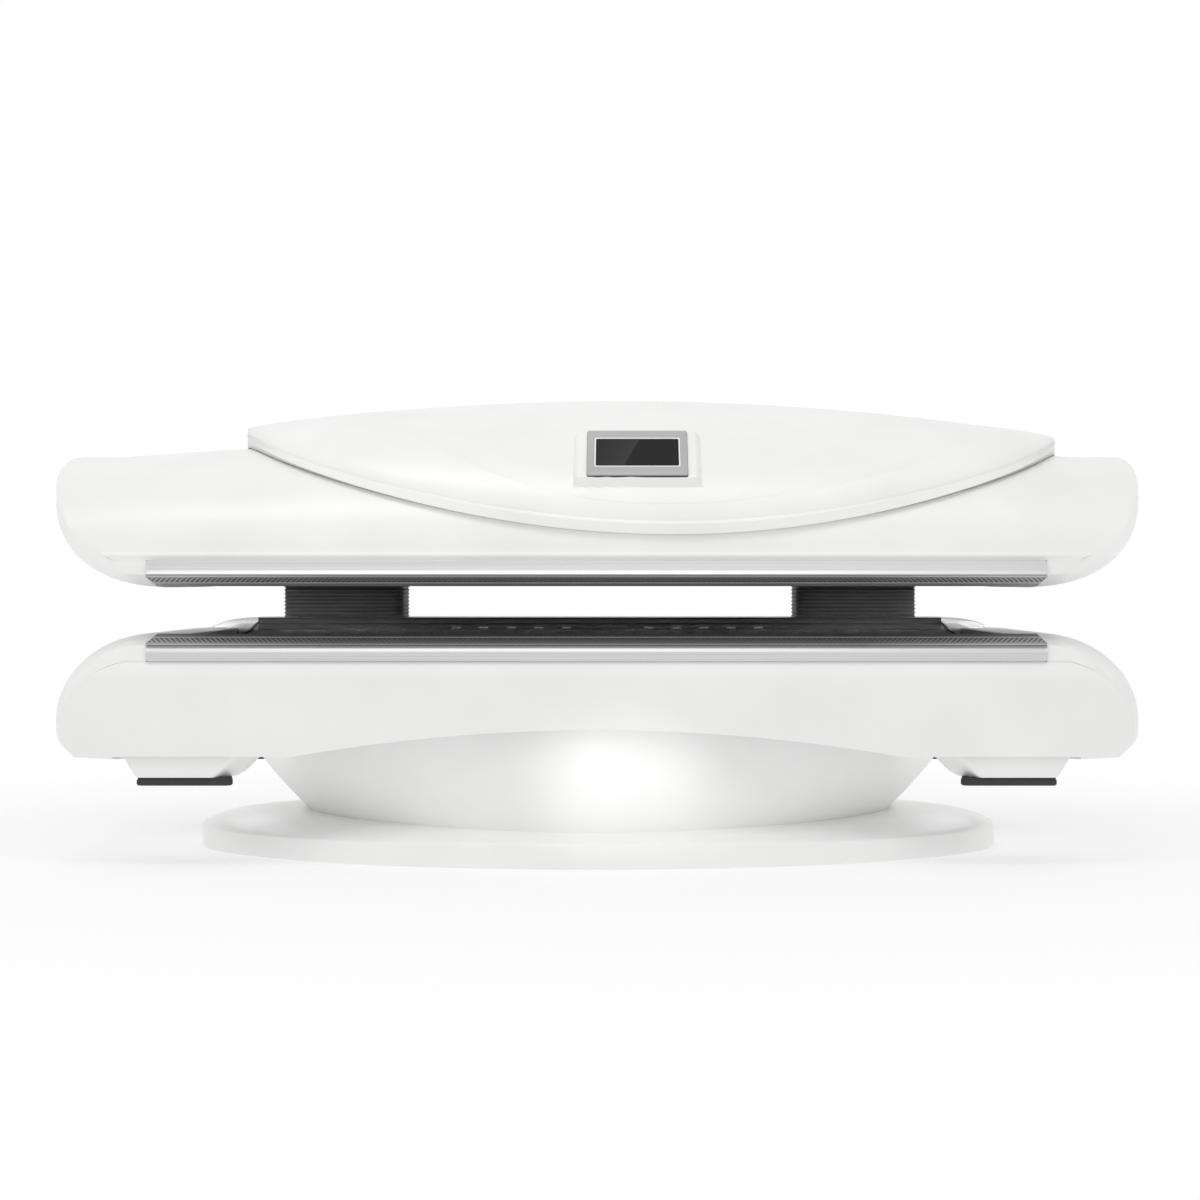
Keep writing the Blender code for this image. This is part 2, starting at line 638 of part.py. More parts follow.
def end_grid(sign, seam, outline, half_depth, knee, lip, lip_depth):
    """The end: each row leaves the front seam, grows to the outline over the taper and returns to the rear.

    Next to the trim a row follows the trim's face up to the share knee, then the lip up to the share lip.
    """
    taper = np.array((0.0, 0.08, 0.2, 0.4, 0.65, 1.0))
    along_lip = np.clip((taper - taper[1]) / (taper[4] - taper[1]), 0, 1)
    edge_share = np.where(taper > 0, knee + (lip - knee) * along_lip, 0.0)
    edge_share[-1] = 1.0
    edge_inset = lip_depth * along_lip
    edge_inset[-1] = END_TAPER
    fade = np.clip((outline[:, 0] - TRIM_HALF_LENGTH) / END_EDGE_FADE, 0, 1)[:, None]
    fade = fade * fade * (3 - 2 * fade)
    share = edge_share + fade * (1 - (1 - taper) ** END_TAPER_POWER - edge_share)
    inset = edge_inset + fade * (END_TAPER * taper - edge_inset)
    share = np.concatenate([share, share[:, ::-1]], axis=1)
    inset = np.concatenate([inset, inset[:, ::-1]], axis=1)
    side = np.repeat([-1.0, 1.0], len(taper))
    points = seam[:, None, :] + share[..., None] * (outline - seam)[:, None, :]
    depth = side * np.maximum(half_depth[:, None] - inset, 0)
    return np.stack([sign * points[..., 0], depth, points[..., 1]], axis=-1)


def make_tub_shells():
    middle = (0, 0, SKIRT_CREASE - TROUGH_DEPTH)
    shell("tub_front_skirt", skirt_grid(-1), SHELL_WALL, WHITE, middle)
    rear_skirt = shell("tub_rear_skirt", skirt_grid(1), SHELL_WALL, WHITE, middle)
    foot = SKIRT_TOP + SEAM
    knee = (LOWER_TRIM_TOP - foot) / (LOWER_CREST - foot)
    for side, sign in SIDES.items():
        paths = [tub_end_paths(wall) for wall in (0.0, SHELL_WALL)]
        outer, inner = [end_grid(sign, *path, knee, 1.0, LIP_DEPTH) for path in paths]
        between(f"tub_end_{side}", outer, inner, WHITE)
    return rear_skirt


# Tub floor, legs and running gear


def leg_ring(x_range, sign_x, sign_y, z):
    """A rectangle with cut corners, anticlockwise."""
    low, high = x_range
    middle = ((low + high) / 2 * sign_x, sum(LEG_Y) / 2 * sign_y)
    half = ((high - low) / 2, (LEG_Y[1] - LEG_Y[0]) / 2)
    plan = superellipse(half[0], half[1], LEG_PLAN_POWER, 24) + np.array(middle)
    return at_height(plan, z)


def make_legs():
    for row, sign_y in {"front": -1, "rear": 1}.items():
        for side, sign_x in SIDES.items():
            heights = [(LEG_FOOT_X, LEG_BOTTOM), (LEG_KNEE_X, LEG_KNEE), (LEG_HEAD_X, PAN_BOTTOM - SEAT_GAP)]
            rings = [leg_ring(span, sign_x, sign_y, z) for span, z in heights]
            loft(f"leg_{row}_{side}", rings, WHITE)
            foot = (LEG_FOOT_X[0] + PAD_INSET, LEG_FOOT_X[1] - PAD_INSET)
            pad_top = LEG_BOTTOM - SEAT_GAP
            pad = [leg_ring(foot, sign_x, sign_y, z) for z in (LEG_BOTTOM - PAD_THICKNESS, pad_top)]
            loft(f"foot_pad_{row}_{side}", pad, RUBBER)


def tunnel_ends():
    """Front and rear edges of the lamp panels, seen along X."""
    rear = HOUSING_FRONT - SEAT_GAP - RAIL_STRIP - SEAM
    return -(LIP_REAR - TRAY), rear


def arc_of(depth):
    """Radius of the arc between the lamp panels' edges that is depth high."""
    front, rear = tunnel_ends()
    half = (rear - front) / 2
    return (half * half + depth * depth) / (2 * depth)


def arc_band(radius, rim, depth, upward, inner, outer):
    """(Y, Z) outline between two arcs, inner and outer away from the panel's inner face."""
    front, rear = tunnel_ends()
    centre_y = (front + rear) / 2
    sign = 1 if upward else -1
    centre_z = rim + sign * (depth - radius)
    points = []
    for offset, way in ((outer, 1), (inner, -1)):
        reach = radius + offset
        half = math.asin((rear - front) / 2 / reach)
        for angle in np.linspace(-half, half, ARC_POINTS)[::way]:
            points.append((centre_y + reach * math.sin(angle), centre_z + sign * reach * math.cos(angle)))
    return points


def lamp_panel(prefix, rim, depth, upward):
    """The clear panel, and the lamp tray behind it."""
    radius = arc_of(depth)
    span = (-TUNNEL_HALF_LENGTH + SEAT_GAP, TUNNEL_HALF_LENGTH - SEAT_GAP)
    tray = ACRYLIC + LAMP_GAP
    along_x(f"{prefix}_acrylic", [arc_band(radius, rim, depth, upward, 0.0, ACRYLIC)], span, CLEAR)
    band = arc_band(radius, rim, depth, upward, tray, tray + TRAY)
    along_x(f"{prefix}_lamp_tray", [band], span, TRAY_METAL)


def crossbar_top():
    return TROUGH_RIM - TROUGH_DEPTH - ACRYLIC - LAMP_GAP - TRAY - SEAT_GAP


def make_floor():
    """The floor pan with its two welded crossbars, and the supply, fan and lift motors that stand on it."""
    floor = PAN_BOTTOM + PAN_THICKNESS
    pan = box(
        "tub_floor_pan",
        (-PAN_HALF_LENGTH, -PAN_HALF_DEPTH, PAN_BOTTOM),
        (PAN_HALF_LENGTH, PAN_HALF_DEPTH, floor),
        STEEL,
    )
    seat = floor + SEAT_GAP
    for side, sign in SIDES.items():
        bar = box(
            f"bed_crossbar_{side}",
            (sign * CROSSBAR_X - CROSSBAR_WIDTH / 2, -CROSSBAR_HALF_LENGTH, floor - PAN_THICKNESS / 2),
            (sign * CROSSBAR_X + CROSSBAR_WIDTH / 2, CROSSBAR_HALF_LENGTH, crossbar_top()),
            STEEL,
        )
        combine(pan, bar, "UNION")
        motor = circle(MOTOR_RADIUS, 24)
        along_z(f"lift_motor_{side}", [motor], (sign * MOTOR_X, COLUMN_Y), (seat, seat + MOTOR_HEIGHT), BLACK)
    length, depth, height = SUPPLY_SIZE
    box(
        "power_supply",
        (SUPPLY_X - length / 2, SUPPLY_Y - depth / 2, seat),
        (SUPPLY_X + length / 2, SUPPLY_Y + depth / 2, seat + height),
        BARE_STEEL,
        bevel=EDGE_ROUND,
    )
    make_fan(seat)


def make_fan(seat):
    """An axial fan lying on the floor pan: a frame whose strut carries the hub, and the rotor."""
    frame = made_mesh(
        along_z(
            "fan_frame",
            [rectangle(FAN_SIZE / 2, FAN_SIZE / 2), circle(FAN_BORE, 32)],
            (FAN_X, FAN_Y),
            (seat, seat + FAN_THICKNESS),
            BLACK,
        )
    )
    strut = box(
        "fan_strut",
        (FAN_X - FAN_SIZE / 2 + FAN_STRUT, FAN_Y - FAN_HUB / 2, seat + FAN_STRUT / 4),
        (FAN_X + FAN_SIZE / 2 - FAN_STRUT, FAN_Y + FAN_HUB / 2, seat + FAN_STRUT),
        BLACK,
    )
    combine(frame, strut, "UNION")
    tip = FAN_BORE - FAN_TIP_GAP
    angles = np.linspace(0, 2 * math.pi, FAN_BLADES * 8, endpoint=False)
    lobes = np.sqrt(np.maximum(np.cos(FAN_BLADES * angles), 0))
    reach = FAN_HUB + (tip - FAN_HUB) * lobes
    blades = [(r * math.cos(a), r * math.sin(a)) for r, a in zip(reach, angles)]
    low = seat + FAN_STRUT + SEAT_GAP
    along_z("fan_rotor", [blades], (FAN_X, FAN_Y), (low, seat + FAN_THICKNESS - FAN_STRUT), BLACK)


# Trims, lips and ledges


def ledge_lines(front_low, front_high, rear_low, rear_high):
    """Lower and upper line of a lip as functions of the distance from the centre towards the front."""
    span = TUB_HALF_DEPTH - LIP_REAR

    def lower(depth):
        return rear_low + (front_low - rear_low) * (depth - LIP_REAR) / span

    def upper(depth):
        return rear_high + (front_high - rear_high) * (depth - LIP_REAR) / span

    return lower, upper


def lip_outline(lower, upper):
    return [
        (-TUB_HALF_DEPTH, lower(TUB_HALF_DEPTH)),
        (-LIP_REAR, lower(LIP_REAR)),
        (-LIP_REAR, upper(LIP_REAR)),
        (-TUB_HALF_DEPTH, upper(TUB_HALF_DEPTH)),
    ]


def front_edge(prefix, trim_low, trim_high, lower, upper, ledge_far, above):
    """Bright trim, dark lip and the ledge that carries both, along the front of one half."""
    span = (-TRIM_HALF_LENGTH, TRIM_HALF_LENGTH)
    back = TUB_HALF_DEPTH - TRIM_THICKNESS
    box(
        f"{prefix}_front_trim",
        (span[0], -TUB_HALF_DEPTH, trim_low),
        (span[1], -back, trim_high),
        TRIM,
        bevel=EDGE_ROUND,
    )
    along_x(f"{prefix}_front_lip", [lip_outline(lower, upper)], span, LIP)
    edge = back - SEAT_GAP
    lip_side = upper if above else lower
    step = SEAT_GAP if above else -SEAT_GAP
    ledge = [
        (-edge, ledge_far),
        (-edge, lip_side(edge) + step),
        (-LIP_REAR, lip_side(LIP_REAR) + step),
        (-LIP_REAR, ledge_far),
    ]
    along_x(f"{prefix}_front_ledge", [ledge], span, WHITE)


def make_front_edges():
    lower, upper = ledge_lines(
        LOWER_TRIM_TOP + SEAT_GAP,
        LOWER_TRIM_TOP + SEAT_GAP + LIP_THICKNESS_FRONT,
        LOWER_CREST - LIP_THICKNESS_REAR,
        LOWER_CREST,
    )
    front_edge("lower", SKIRT_TOP + SEAT_GAP, LOWER_TRIM_TOP, lower, upper, SKIRT_TOP + SEAM, above=False)
    lower, upper = ledge_lines(
        UPPER_TRIM_BOTTOM - SEAT_GAP - LIP_THICKNESS_FRONT,
        UPPER_TRIM_BOTTOM - SEAT_GAP,
        UPPER_LIP_LOW,
        UPPER_LIP_LOW + LIP_THICKNESS_REAR,
    )
    front_edge("canopy", UPPER_TRIM_BOTTOM, UPPER_TRIM_TOP, lower, upper, UPPER_TRIM_TOP, above=True)


# Trough, rear housing and columns


def make_trough():
    lamp_panel("lower", TROUGH_RIM, TROUGH_DEPTH, upward=False)
    inner, outer = TUNNEL_HALF_LENGTH, TRIM_HALF_LENGTH
    floor = PAN_BOTTOM + PAN_THICKNESS + SEAT_GAP
    for side, sign in SIDES.items():
        ends = sorted((sign * inner, sign * outer))
        box(
            f"lower_end_block_{side}",
            (ends[0], -LIP_REAR + SEAT_GAP, floor),
            (ends[1], HOUSING_FRONT - SEAT_GAP, LOWER_CREST),
            GREY,
            bevel=EDGE_ROUND,
        )


def column_sizes():
    """Outside sizes of the inner, middle and outer tubes."""
    step = 2 * (TUBE_WALL + SLIDE_GAP)
    return [(INNER_TUBE[0] + n * step, INNER_TUBE[1] + n * step) for n in range(3)]


def column_hole(name, size, x, z_range):
    half = (size[0] / 2 + SLIDE_GAP, size[1] / 2 + SLIDE_GAP)
    low = (x - half[0], COLUMN_Y - half[1], z_range[0])
    high = (x + half[0], COLUMN_Y + half[1], z_range[1])
    return box(name, low, high, STEEL, collection=CUTTERS)


def make_rear_housing():
    low = SKIRT_TOP + SEAM
    high_half = HOUSING_TOP_HALF_LENGTH
    outline = [
        (-TRIM_HALF_LENGTH, low),
        (TRIM_HALF_LENGTH, low),
        (TRIM_HALF_LENGTH, HOUSING_SHOULDER),
        (high_half, HOUSING_TOP),
        (-high_half, HOUSING_TOP),
        (-TRIM_HALF_LENGTH, HOUSING_SHOULDER),
    ]
    cover = made_mesh(along_y("rear_housing", outline, (HOUSING_FRONT, TUB_HALF_DEPTH), WHITE))
    hollow = box(
        "rear_housing_hollow",
        (-high_half + SHELL_WALL, HOUSING_FRONT + SHELL_WALL, low - SHELL_WALL),
        (high_half - SHELL_WALL, TUB_HALF_DEPTH - SHELL_WALL, HOUSING_TOP - SHELL_WALL),
        WHITE,
    )
    combine(cover, hollow, "DIFFERENCE")
    through = (HOUSING_TOP - 2 * SHELL_WALL, HOUSING_TOP + SHELL_WALL)
    for side, sign in SIDES.items():
        hole = column_hole(f"housing_hole_{side}", column_sizes()[2], sign * COLUMN_X, through)
        combine(cover, hole, "DIFFERENCE")
    strip_back = HOUSING_FRONT - SEAT_GAP
    box(
        "lower_rear_rail",
        (-RAIL_STRIP_HALF_LENGTH, strip_back - RAIL_STRIP, HOUSING_TOP - RAIL_STRIP_HEIGHT),
        (RAIL_STRIP_HALF_LENGTH, strip_back, HOUSING_TOP),
        LIP,
        bevel=EDGE_ROUND / 2,
    )


def make_columns():
    inner, middle, outer = column_sizes()
    floor = PAN_BOTTOM + PAN_THICKNESS + SEAT_GAP
    sill = UPPER_LIP_LOW + SEAT_GAP
    for side, sign in SIDES.items():
        centre = (sign * COLUMN_X, COLUMN_Y)
        square_tube(f"column_outer_{side}", outer, TUBE_WALL, centre, (floor, OUTER_TUBE_TOP), BARE_STEEL)
        middle_range = (floor + TUBE_LIFT, OUTER_TUBE_TOP + TUBE_LIFT)
        square_tube(f"column_middle_{side}", middle, TUBE_WALL, centre, middle_range, BARE_STEEL)
        inner_range = (floor + 2 * TUBE_LIFT, sill + SILL_THICKNESS)
        square_tube(f"column_inner_{side}", inner, TUBE_WALL, centre, inner_range, BARE_STEEL)
        make_bellows(side, centre, HOUSING_TOP + SEAT_GAP, sill - SEAT_GAP)


def bellows_plan(inset, centre):
    half = (BELLOWS_SIZE[0] / 2 - inset, BELLOWS_SIZE[1] / 2 - inset)
    return superellipse(*half, BELLOWS_PLAN_POWER, 24) + np.array(centre)


def make_bellows(side, centre, low, high):
    """Pleats as rings that step in and out by one pleat's depth, between two plain collars."""
    first, last = low + BELLOWS_COLLAR, high - BELLOWS_COLLAR
    outer = [at_height(bellows_plan(0.0, centre), low)]
    for n in range(2 * BELLOWS_PLEATS + 1):
        inset = BELLOWS_PLEAT if n % 2 else 0.0
        z = first + (last - first) * n / (2 * BELLOWS_PLEATS)
        outer.append(at_height(bellows_plan(inset, centre), z))
    outer.append(at_height(bellows_plan(0.0, centre), high))
    bore = bellows_plan(BELLOWS_PLEAT + BELLOWS_WALL, centre)
    hollow_loft(f"bellows_{side}", outer, [at_height(bore, low), at_height(bore, high)], RUBBER)


# Power inlet and switch


def make_inlet(skirt):
    length, depth, height = INLET_SIZE
    low = Vector((INLET_X - length / 2, INLET_BACK - depth, INLET_Z - height / 2))
    high = Vector((INLET_X + length / 2, INLET_BACK, INLET_Z + height / 2))
    body = box("power_inlet", low, high, BLACK)
    grow = Vector((SEAT_GAP, depth, SEAT_GAP))
    combine(skirt, box("inlet_window", low - grow, high + grow, BLACK), "DIFFERENCE")

    def pocket(name, offset, size):
        half = Vector((size[0] / 2, 0, size[2] / 2))
        centre = Vector((INLET_X + offset, 0, INLET_Z))
        front = Vector((0, INLET_BACK - size[1], 0))
        back = Vector((0, INLET_BACK + SHELL_WALL, 0))
        return box(name, centre - half + front, centre + half + back, BLACK)

    combine(body, pocket("socket_pocket", SOCKET_X, SOCKET_SIZE), "DIFFERENCE")
    length, depth, height = ROCKER_SIZE
    room = (length + 2 * SEAT_GAP, depth + ROCKER_ROOM, height + 2 * ROCKER_SWING)
    combine(body, pocket("rocker_pocket", ROCKER_X, room), "DIFFERENCE")
    half = ROCKER_SIZE[2] / 2
    pivot = INLET_BACK - ROCKER_SIZE[1] / 2
    turned = [(half * math.cos(a), half * math.sin(a)) for a in np.radians(np.linspace(*ROCKER_KEEL_TURN, 11))]
    keel = [(pivot + y * ROCKER_SIZE[1] / half / 2, INLET_Z + x) for x, y in turned]
    face = [(INLET_BACK, INLET_Z + half), (INLET_BACK - ROCKER_DISH, INLET_Z), (INLET_BACK, INLET_Z - half)]
    span = (INLET_X + ROCKER_X - ROCKER_SIZE[0] / 2, INLET_X + ROCKER_X + ROCKER_SIZE[0] / 2)
    along_x("mains_switch", [keel + face], span, BLACK)


# Canopy


def canopy_depth(z, rise):
    """Half depth of the canopy's arch at a height, for an arch that is rise high."""
    share = np.clip((z - CANOPY_BASE) / rise, 0, 1)
    return CANOPY_HALF_DEPTH * (1 - share**CANOPY_ARCH_POWER) ** (1 / CANOPY_ARCH_POWER)


def canopy_rise(x):
    """Rise of the arch at a place along the bed: highest in the middle, even near the ends."""
    return CANOPY_END_RISE + CANOPY_CROWN * (1 - np.minimum(np.abs(x) / CANOPY_CROWN_REACH, 1) ** 2)


def canopy_seam_x(z):
    drop = np.clip((CANOPY_SEAM_Z - z) / CANOPY_SEAM_DROP, 0, 1)
    return CANOPY_SEAM_X + CANOPY_SEAM_REACH * np.sqrt(1 - drop**2)


def canopy_grid():
    """Rows from the front edge over the crest to the rear edge, each bowed up towards the middle."""
    turn = np.radians(np.linspace(0, 90, 12))
    share = np.sin(turn) ** (2 / CANOPY_ARCH_POWER)
    depth = CANOPY_HALF_DEPTH * np.cos(turn) ** (2 / CANOPY_ARCH_POWER)
    depth[-1] = 0.0
    edge = UPPER_TRIM_TOP + SEAM
    end_z = np.concatenate([[edge], CANOPY_BASE + CANOPY_END_RISE * share])
    share = np.concatenate([[0.0], share])
    depth = np.concatenate([[CANOPY_HALF_DEPTH], depth])
    over = np.concatenate([np.arange(len(share)), np.arange(len(share) - 1)[::-1]])
    sign = np.where(np.arange(len(over)) < len(share), -1.0, 1.0)
    u = np.linspace(-1, 1, 17)
    x = u[None, :] * (canopy_seam_x(end_z)[over, None] - SEAM)
    z = end_z[over, None] + (canopy_rise(x) - CANOPY_END_RISE) * share[over, None]
    y = (sign * depth[over])[:, None] + np.zeros_like(x)
    return np.stack([x, y, z], axis=-1)


def canopy_end_paths(wall):
    """(X, Z) lines of the seam and of the end's outline, point for point, from below to the crest,
    with the half depth at each. wall moves them inwards.
    """
    edge, crest = UPPER_TRIM_TOP, CANOPY_BASE + CANOPY_END_RISE
    low = math.acos((CANOPY_SEAM_Z - edge) / CANOPY_SEAM_DROP)
    high = math.acos((CANOPY_SEAM_Z - crest) / CANOPY_SEAM_DROP)
    heights = CANOPY_SEAM_Z - CANOPY_SEAM_DROP * np.cos(np.linspace(low, high, 14))
    start = TRIM_HALF_LENGTH + SEAM
    seam = np.concatenate([[(start, edge)], np.column_stack([canopy_seam_x(heights), heights])])
    half_depth = canopy_depth(seam[:, 1], CANOPY_END_RISE) * (1 - wall / CANOPY_HALF_DEPTH)
    seam[:, 1] -= wall * np.clip((seam[:, 1] - CANOPY_BASE) / CANOPY_END_RISE, 0, 1)
    crest = crest - wall
    reach = CANOPY_END_REACH - wall
    middle = CANOPY_HALF_LENGTH - CANOPY_END_REACH
    upper = crest - CANOPY_END_Z
    turn = np.radians(np.linspace(CANOPY_END_TURN, 90, 14))
    below = turn < 0
    x = np.where(
        below,
        middle + reach * np.abs(np.cos(turn)) ** (2 / CANOPY_END_POWER),
        middle + reach - CANOPY_TOP_TUCK * np.sin(turn) ** 2,
    )
    bottom = CANOPY_END_BOTTOM + wall
    fall = (CANOPY_END_Z - bottom) * np.abs(np.sin(turn)) ** (2 / CANOPY_END_POWER)
    z = CANOPY_END_Z + np.where(below, -fall, upper * np.sin(turn))
    return seam, np.concatenate([[(start, bottom)], np.column_stack([x, z])]), half_depth


def make_canopy():
    inside = (0, 0, CANOPY_BASE)
    shell("canopy_shell", canopy_grid(), SHELL_WALL, WHITE, inside)
    drop = UPPER_TRIM_TOP - CANOPY_END_BOTTOM
    knee = (UPPER_TRIM_TOP - UPPER_TRIM_BOTTOM) / drop
    lip = (UPPER_TRIM_TOP - UPPER_LIP_LOW) / drop
    for side, sign in SIDES.items():
        paths = [canopy_end_paths(wall) for wall in (0.0, SHELL_WALL)]
        outer, inner = [end_grid(sign, *path, knee, lip, LIP_DEPTH - CANOPY_SETBACK) for path in paths]
        between(f"canopy_end_{side}", outer, inner, WHITE)
    lamp_panel("canopy", ARCH_RIM, ARCH_RISE, upward=True)
    behind = ACRYLIC + LAMP_GAP + TRAY + END_BLOCK_MARGIN
    rim = UPPER_LIP_LOW + SEAT_GAP
    arch = arc_band(arc_of(ARCH_RISE), ARCH_RIM, ARCH_RISE, True, 0.0, behind)[:ARC_POINTS]
    front, rear = -LIP_REAR + SEAT_GAP, HOUSING_FRONT - SEAT_GAP
    arch = [(min(max(y, front), rear), z) for y, z in arch]
    for side, sign in SIDES.items():
        ends = sorted((sign * TUNNEL_HALF_LENGTH, sign * TRIM_HALF_LENGTH))
        along_x(f"canopy_end_block_{side}", [[(front, rim), *arch, (rear, rim)]], ends, GREY)


def make_canopy_frame():
    low = UPPER_LIP_LOW + SEAT_GAP
    back = CANOPY_HALF_DEPTH
    wall = SILL_THICKNESS
    profile = [
        (HOUSING_FRONT, low),
        (back, low),
        (back, UPPER_TRIM_TOP),
        (back - wall, UPPER_TRIM_TOP),
        (back - wall, low + wall),
        (HOUSING_FRONT, low + wall),
    ]
    sill = made_mesh(along_x("canopy_rear_sill", [profile], (-TRIM_HALF_LENGTH, TRIM_HALF_LENGTH), WHITE))
    for side, sign in SIDES.items():
        through = (low - wall, low + 2 * wall)
        hole = column_hole(f"sill_hole_{side}", column_sizes()[0], sign * COLUMN_X, through)
        combine(sill, hole, "DIFFERENCE")
    half = (BEAM_SIZE[0] / 2, BEAM_SIZE[1] / 2)
    outline = rectangle(*half)
    bore = rectangle(half[0] - FRAME_WALL, half[1] - FRAME_WALL)
    beam = along_x("canopy_beam", [outline, bore], (-BEAM_HALF_LENGTH, BEAM_HALF_LENGTH), STEEL)
    beam.location.y = COLUMN_Y
    beam.location.z = low + wall + SEAT_GAP + half[1]


# Hood and display


def hood_edge(x, lift):
    """Where the hood's edge lies on the canopy, with the canopy's outward direction there, in (Y, Z).

    lift raises the edge in the middle, and fades to nothing at the tips.
    """
    tip = HOOD_TIPS[0] if x < HOOD_FRONT_X else HOOD_TIPS[1]
    tip_rise = CANOPY_BASE + canopy_rise(tip) - HOOD_TIP_DROP - HOOD_FRONT_LOW
    rise = canopy_rise(x)
    along = min(abs(x - HOOD_MIDDLE) / HOOD_HALF_LENGTH, 1.0)
    bow = tip_rise * ((x - HOOD_FRONT_X) / (tip - HOOD_FRONT_X)) ** 2
    height = HOOD_FRONT_LOW + bow + lift * (1 - along**2)
    closing = math.sqrt(1 - along**HOOD_TIP_POWER)
    depth = float(canopy_depth(height, rise)) * closing
    power = CANOPY_ARCH_POWER
    share = depth / CANOPY_HALF_DEPTH
    z = CANOPY_BASE + rise * (1 - share**power) ** (1 / power)
    up = ((z - CANOPY_BASE) / rise) ** (power - 1) / rise
    outward = np.array([share ** (power - 1) / CANOPY_HALF_DEPTH, up])
    return np.array([depth, z]), outward / np.linalg.norm(outward)


def hood_section(x, lift, count=7):
    """Half a section, from the edge on the canopy up its band and along a superellipse to the ridge."""
    foot, outward = hood_edge(x, lift)
    upward = np.array([-outward[1], outward[0]])
    share = foot[0] / CANOPY_HALF_DEPTH
    stand, band_foot = [near + further * (1 - share) for near, further in (HOOD_BAND, HOOD_BAND_FOOT)]
    band = foot + stand * outward + HOOD_BAND_WIDTH * share * upward
    ridge = HOOD_RIDGE_TOP - HOOD_RIDGE_DROP * ((x - HOOD_RIDGE_X) / HOOD_HALF_LENGTH) ** 2
    turn = np.radians(np.linspace(0, 90, count))
    rise = (ridge - band[1]) * np.sin(turn) ** (2 / HOOD_FACE_POWER)
    curve = np.column_stack([band[0] * np.cos(turn), band[1] + rise])
    curve[-1, 0] = 0.0
    return np.concatenate([[foot + HOOD_SEAT * outward, foot + band_foot * outward], curve])


def hood_grid():
    u = np.sin(np.radians(np.linspace(-90, 90, 25)))
    rows = []
    for x in HOOD_MIDDLE + HOOD_HALF_LENGTH * u:
        front, rear = hood_section(x, 0.0), hood_section(x, HOOD_REAR_LIFT)
        section = [(x, -y, z) for y, z in front] + [(x, y, z) for y, z in rear[-2::-1]]
        rows.append(section)
    return np.array(rows)


def display_place():
    """Middle of the display on the hood's face, and the tilt that lays it along the face."""
    section = hood_section(DISPLAY_X, 0.0, count=91)[2:]
    middle = int(np.argmin(np.abs(section[:, 1] - HOOD_FRONT_LOW - DISPLAY_RISE)))
    before, after = section[middle - 1], section[middle + 1]
    tilt = math.atan2(after[1] - before[1], before[0] - after[0])
    return Vector((DISPLAY_X, -section[middle, 0], section[middle, 1])), tilt


def tilted_box(name, size, low, material, bevel=0.0):
    """A box on the display's own axes, low being its underside's height above the hood's face."""
    half = Vector((size[0] / 2, size[1] / 2, 0))
    obj = box(name, -half, half + Vector((0, 0, size[2])), material, bevel)
    place, tilt = display_place()
    turn = Euler((tilt, 0, 0))
    obj.rotation_euler = turn
    offset = Vector((0, 0, low + size[2] / 2))
    offset.rotate(turn)
    obj.location = place + offset
    return obj


def make_hood():
    hood = shell("canopy_hood", hood_grid(), SHELL_WALL, WHITE, (DISPLAY_X, 0, CANOPY_BASE))
    length, height, depth = BEZEL_SIZE
    low = BEZEL_PROUD - depth
    window = (length + 2 * SEAT_GAP, height + 2 * SEAT_GAP, 3 * depth)
    combine(hood, tilted_box("display_window", window, low - depth, BLACK), "DIFFERENCE")
    bezel = tilted_box("display_bezel", BEZEL_SIZE, low, BEZEL, bevel=EDGE_ROUND)
    opening = (SCREEN_SIZE[0] + 2 * SEAT_GAP, SCREEN_SIZE[1] + 2 * SEAT_GAP, 3 * depth)
    combine(bezel, tilted_box("screen_opening", opening, low - depth, BLACK), "DIFFERENCE")
    tilted_box("display_screen", SCREEN_SIZE, BEZEL_PROUD - SCREEN_SUNK - SCREEN_SIZE[2], GLASS)
    tilted_box("control_board", BOARD_SIZE, low - SEAT_GAP - BOARD_SIZE[2], BOARD)


def main():
    make_foot()
    rear_skirt = make_tub_shells()
    make_legs()
    make_floor()
    make_front_edges()
    make_trough()
    make_rear_housing()
    make_columns()
    make_inlet(rear_skirt)
    make_canopy()
    make_canopy_frame()
    make_hood()


main()
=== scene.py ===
import math
import bmesh
import bpy
import numpy as np
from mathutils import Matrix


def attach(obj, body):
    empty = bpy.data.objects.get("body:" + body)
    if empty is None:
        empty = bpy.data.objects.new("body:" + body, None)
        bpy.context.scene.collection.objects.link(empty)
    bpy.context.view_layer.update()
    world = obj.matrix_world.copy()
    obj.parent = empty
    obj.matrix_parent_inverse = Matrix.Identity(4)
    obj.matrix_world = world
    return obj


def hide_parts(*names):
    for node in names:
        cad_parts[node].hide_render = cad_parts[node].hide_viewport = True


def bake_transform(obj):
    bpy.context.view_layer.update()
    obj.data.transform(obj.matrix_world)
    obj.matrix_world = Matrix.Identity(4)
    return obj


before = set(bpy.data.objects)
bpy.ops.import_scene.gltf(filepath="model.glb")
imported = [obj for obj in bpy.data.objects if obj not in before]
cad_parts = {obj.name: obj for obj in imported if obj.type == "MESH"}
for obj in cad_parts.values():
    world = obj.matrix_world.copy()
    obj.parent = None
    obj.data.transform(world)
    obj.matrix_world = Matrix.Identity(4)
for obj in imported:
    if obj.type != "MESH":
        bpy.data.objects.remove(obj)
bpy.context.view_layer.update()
scene = bpy.context.scene
print("frame loaded:", len(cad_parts), "nodes")


# colours and nodes

def srgb(code):  # sRGB hex to the linear values that a socket takes
    c = np.array([int(code[i:i + 2], 16) for i in (0, 2, 4)]) / 255
    return (*np.where(c <= 0.04045, c / 12.92, ((c + 0.055) / 1.055) ** 2.4).tolist(), 1.0)


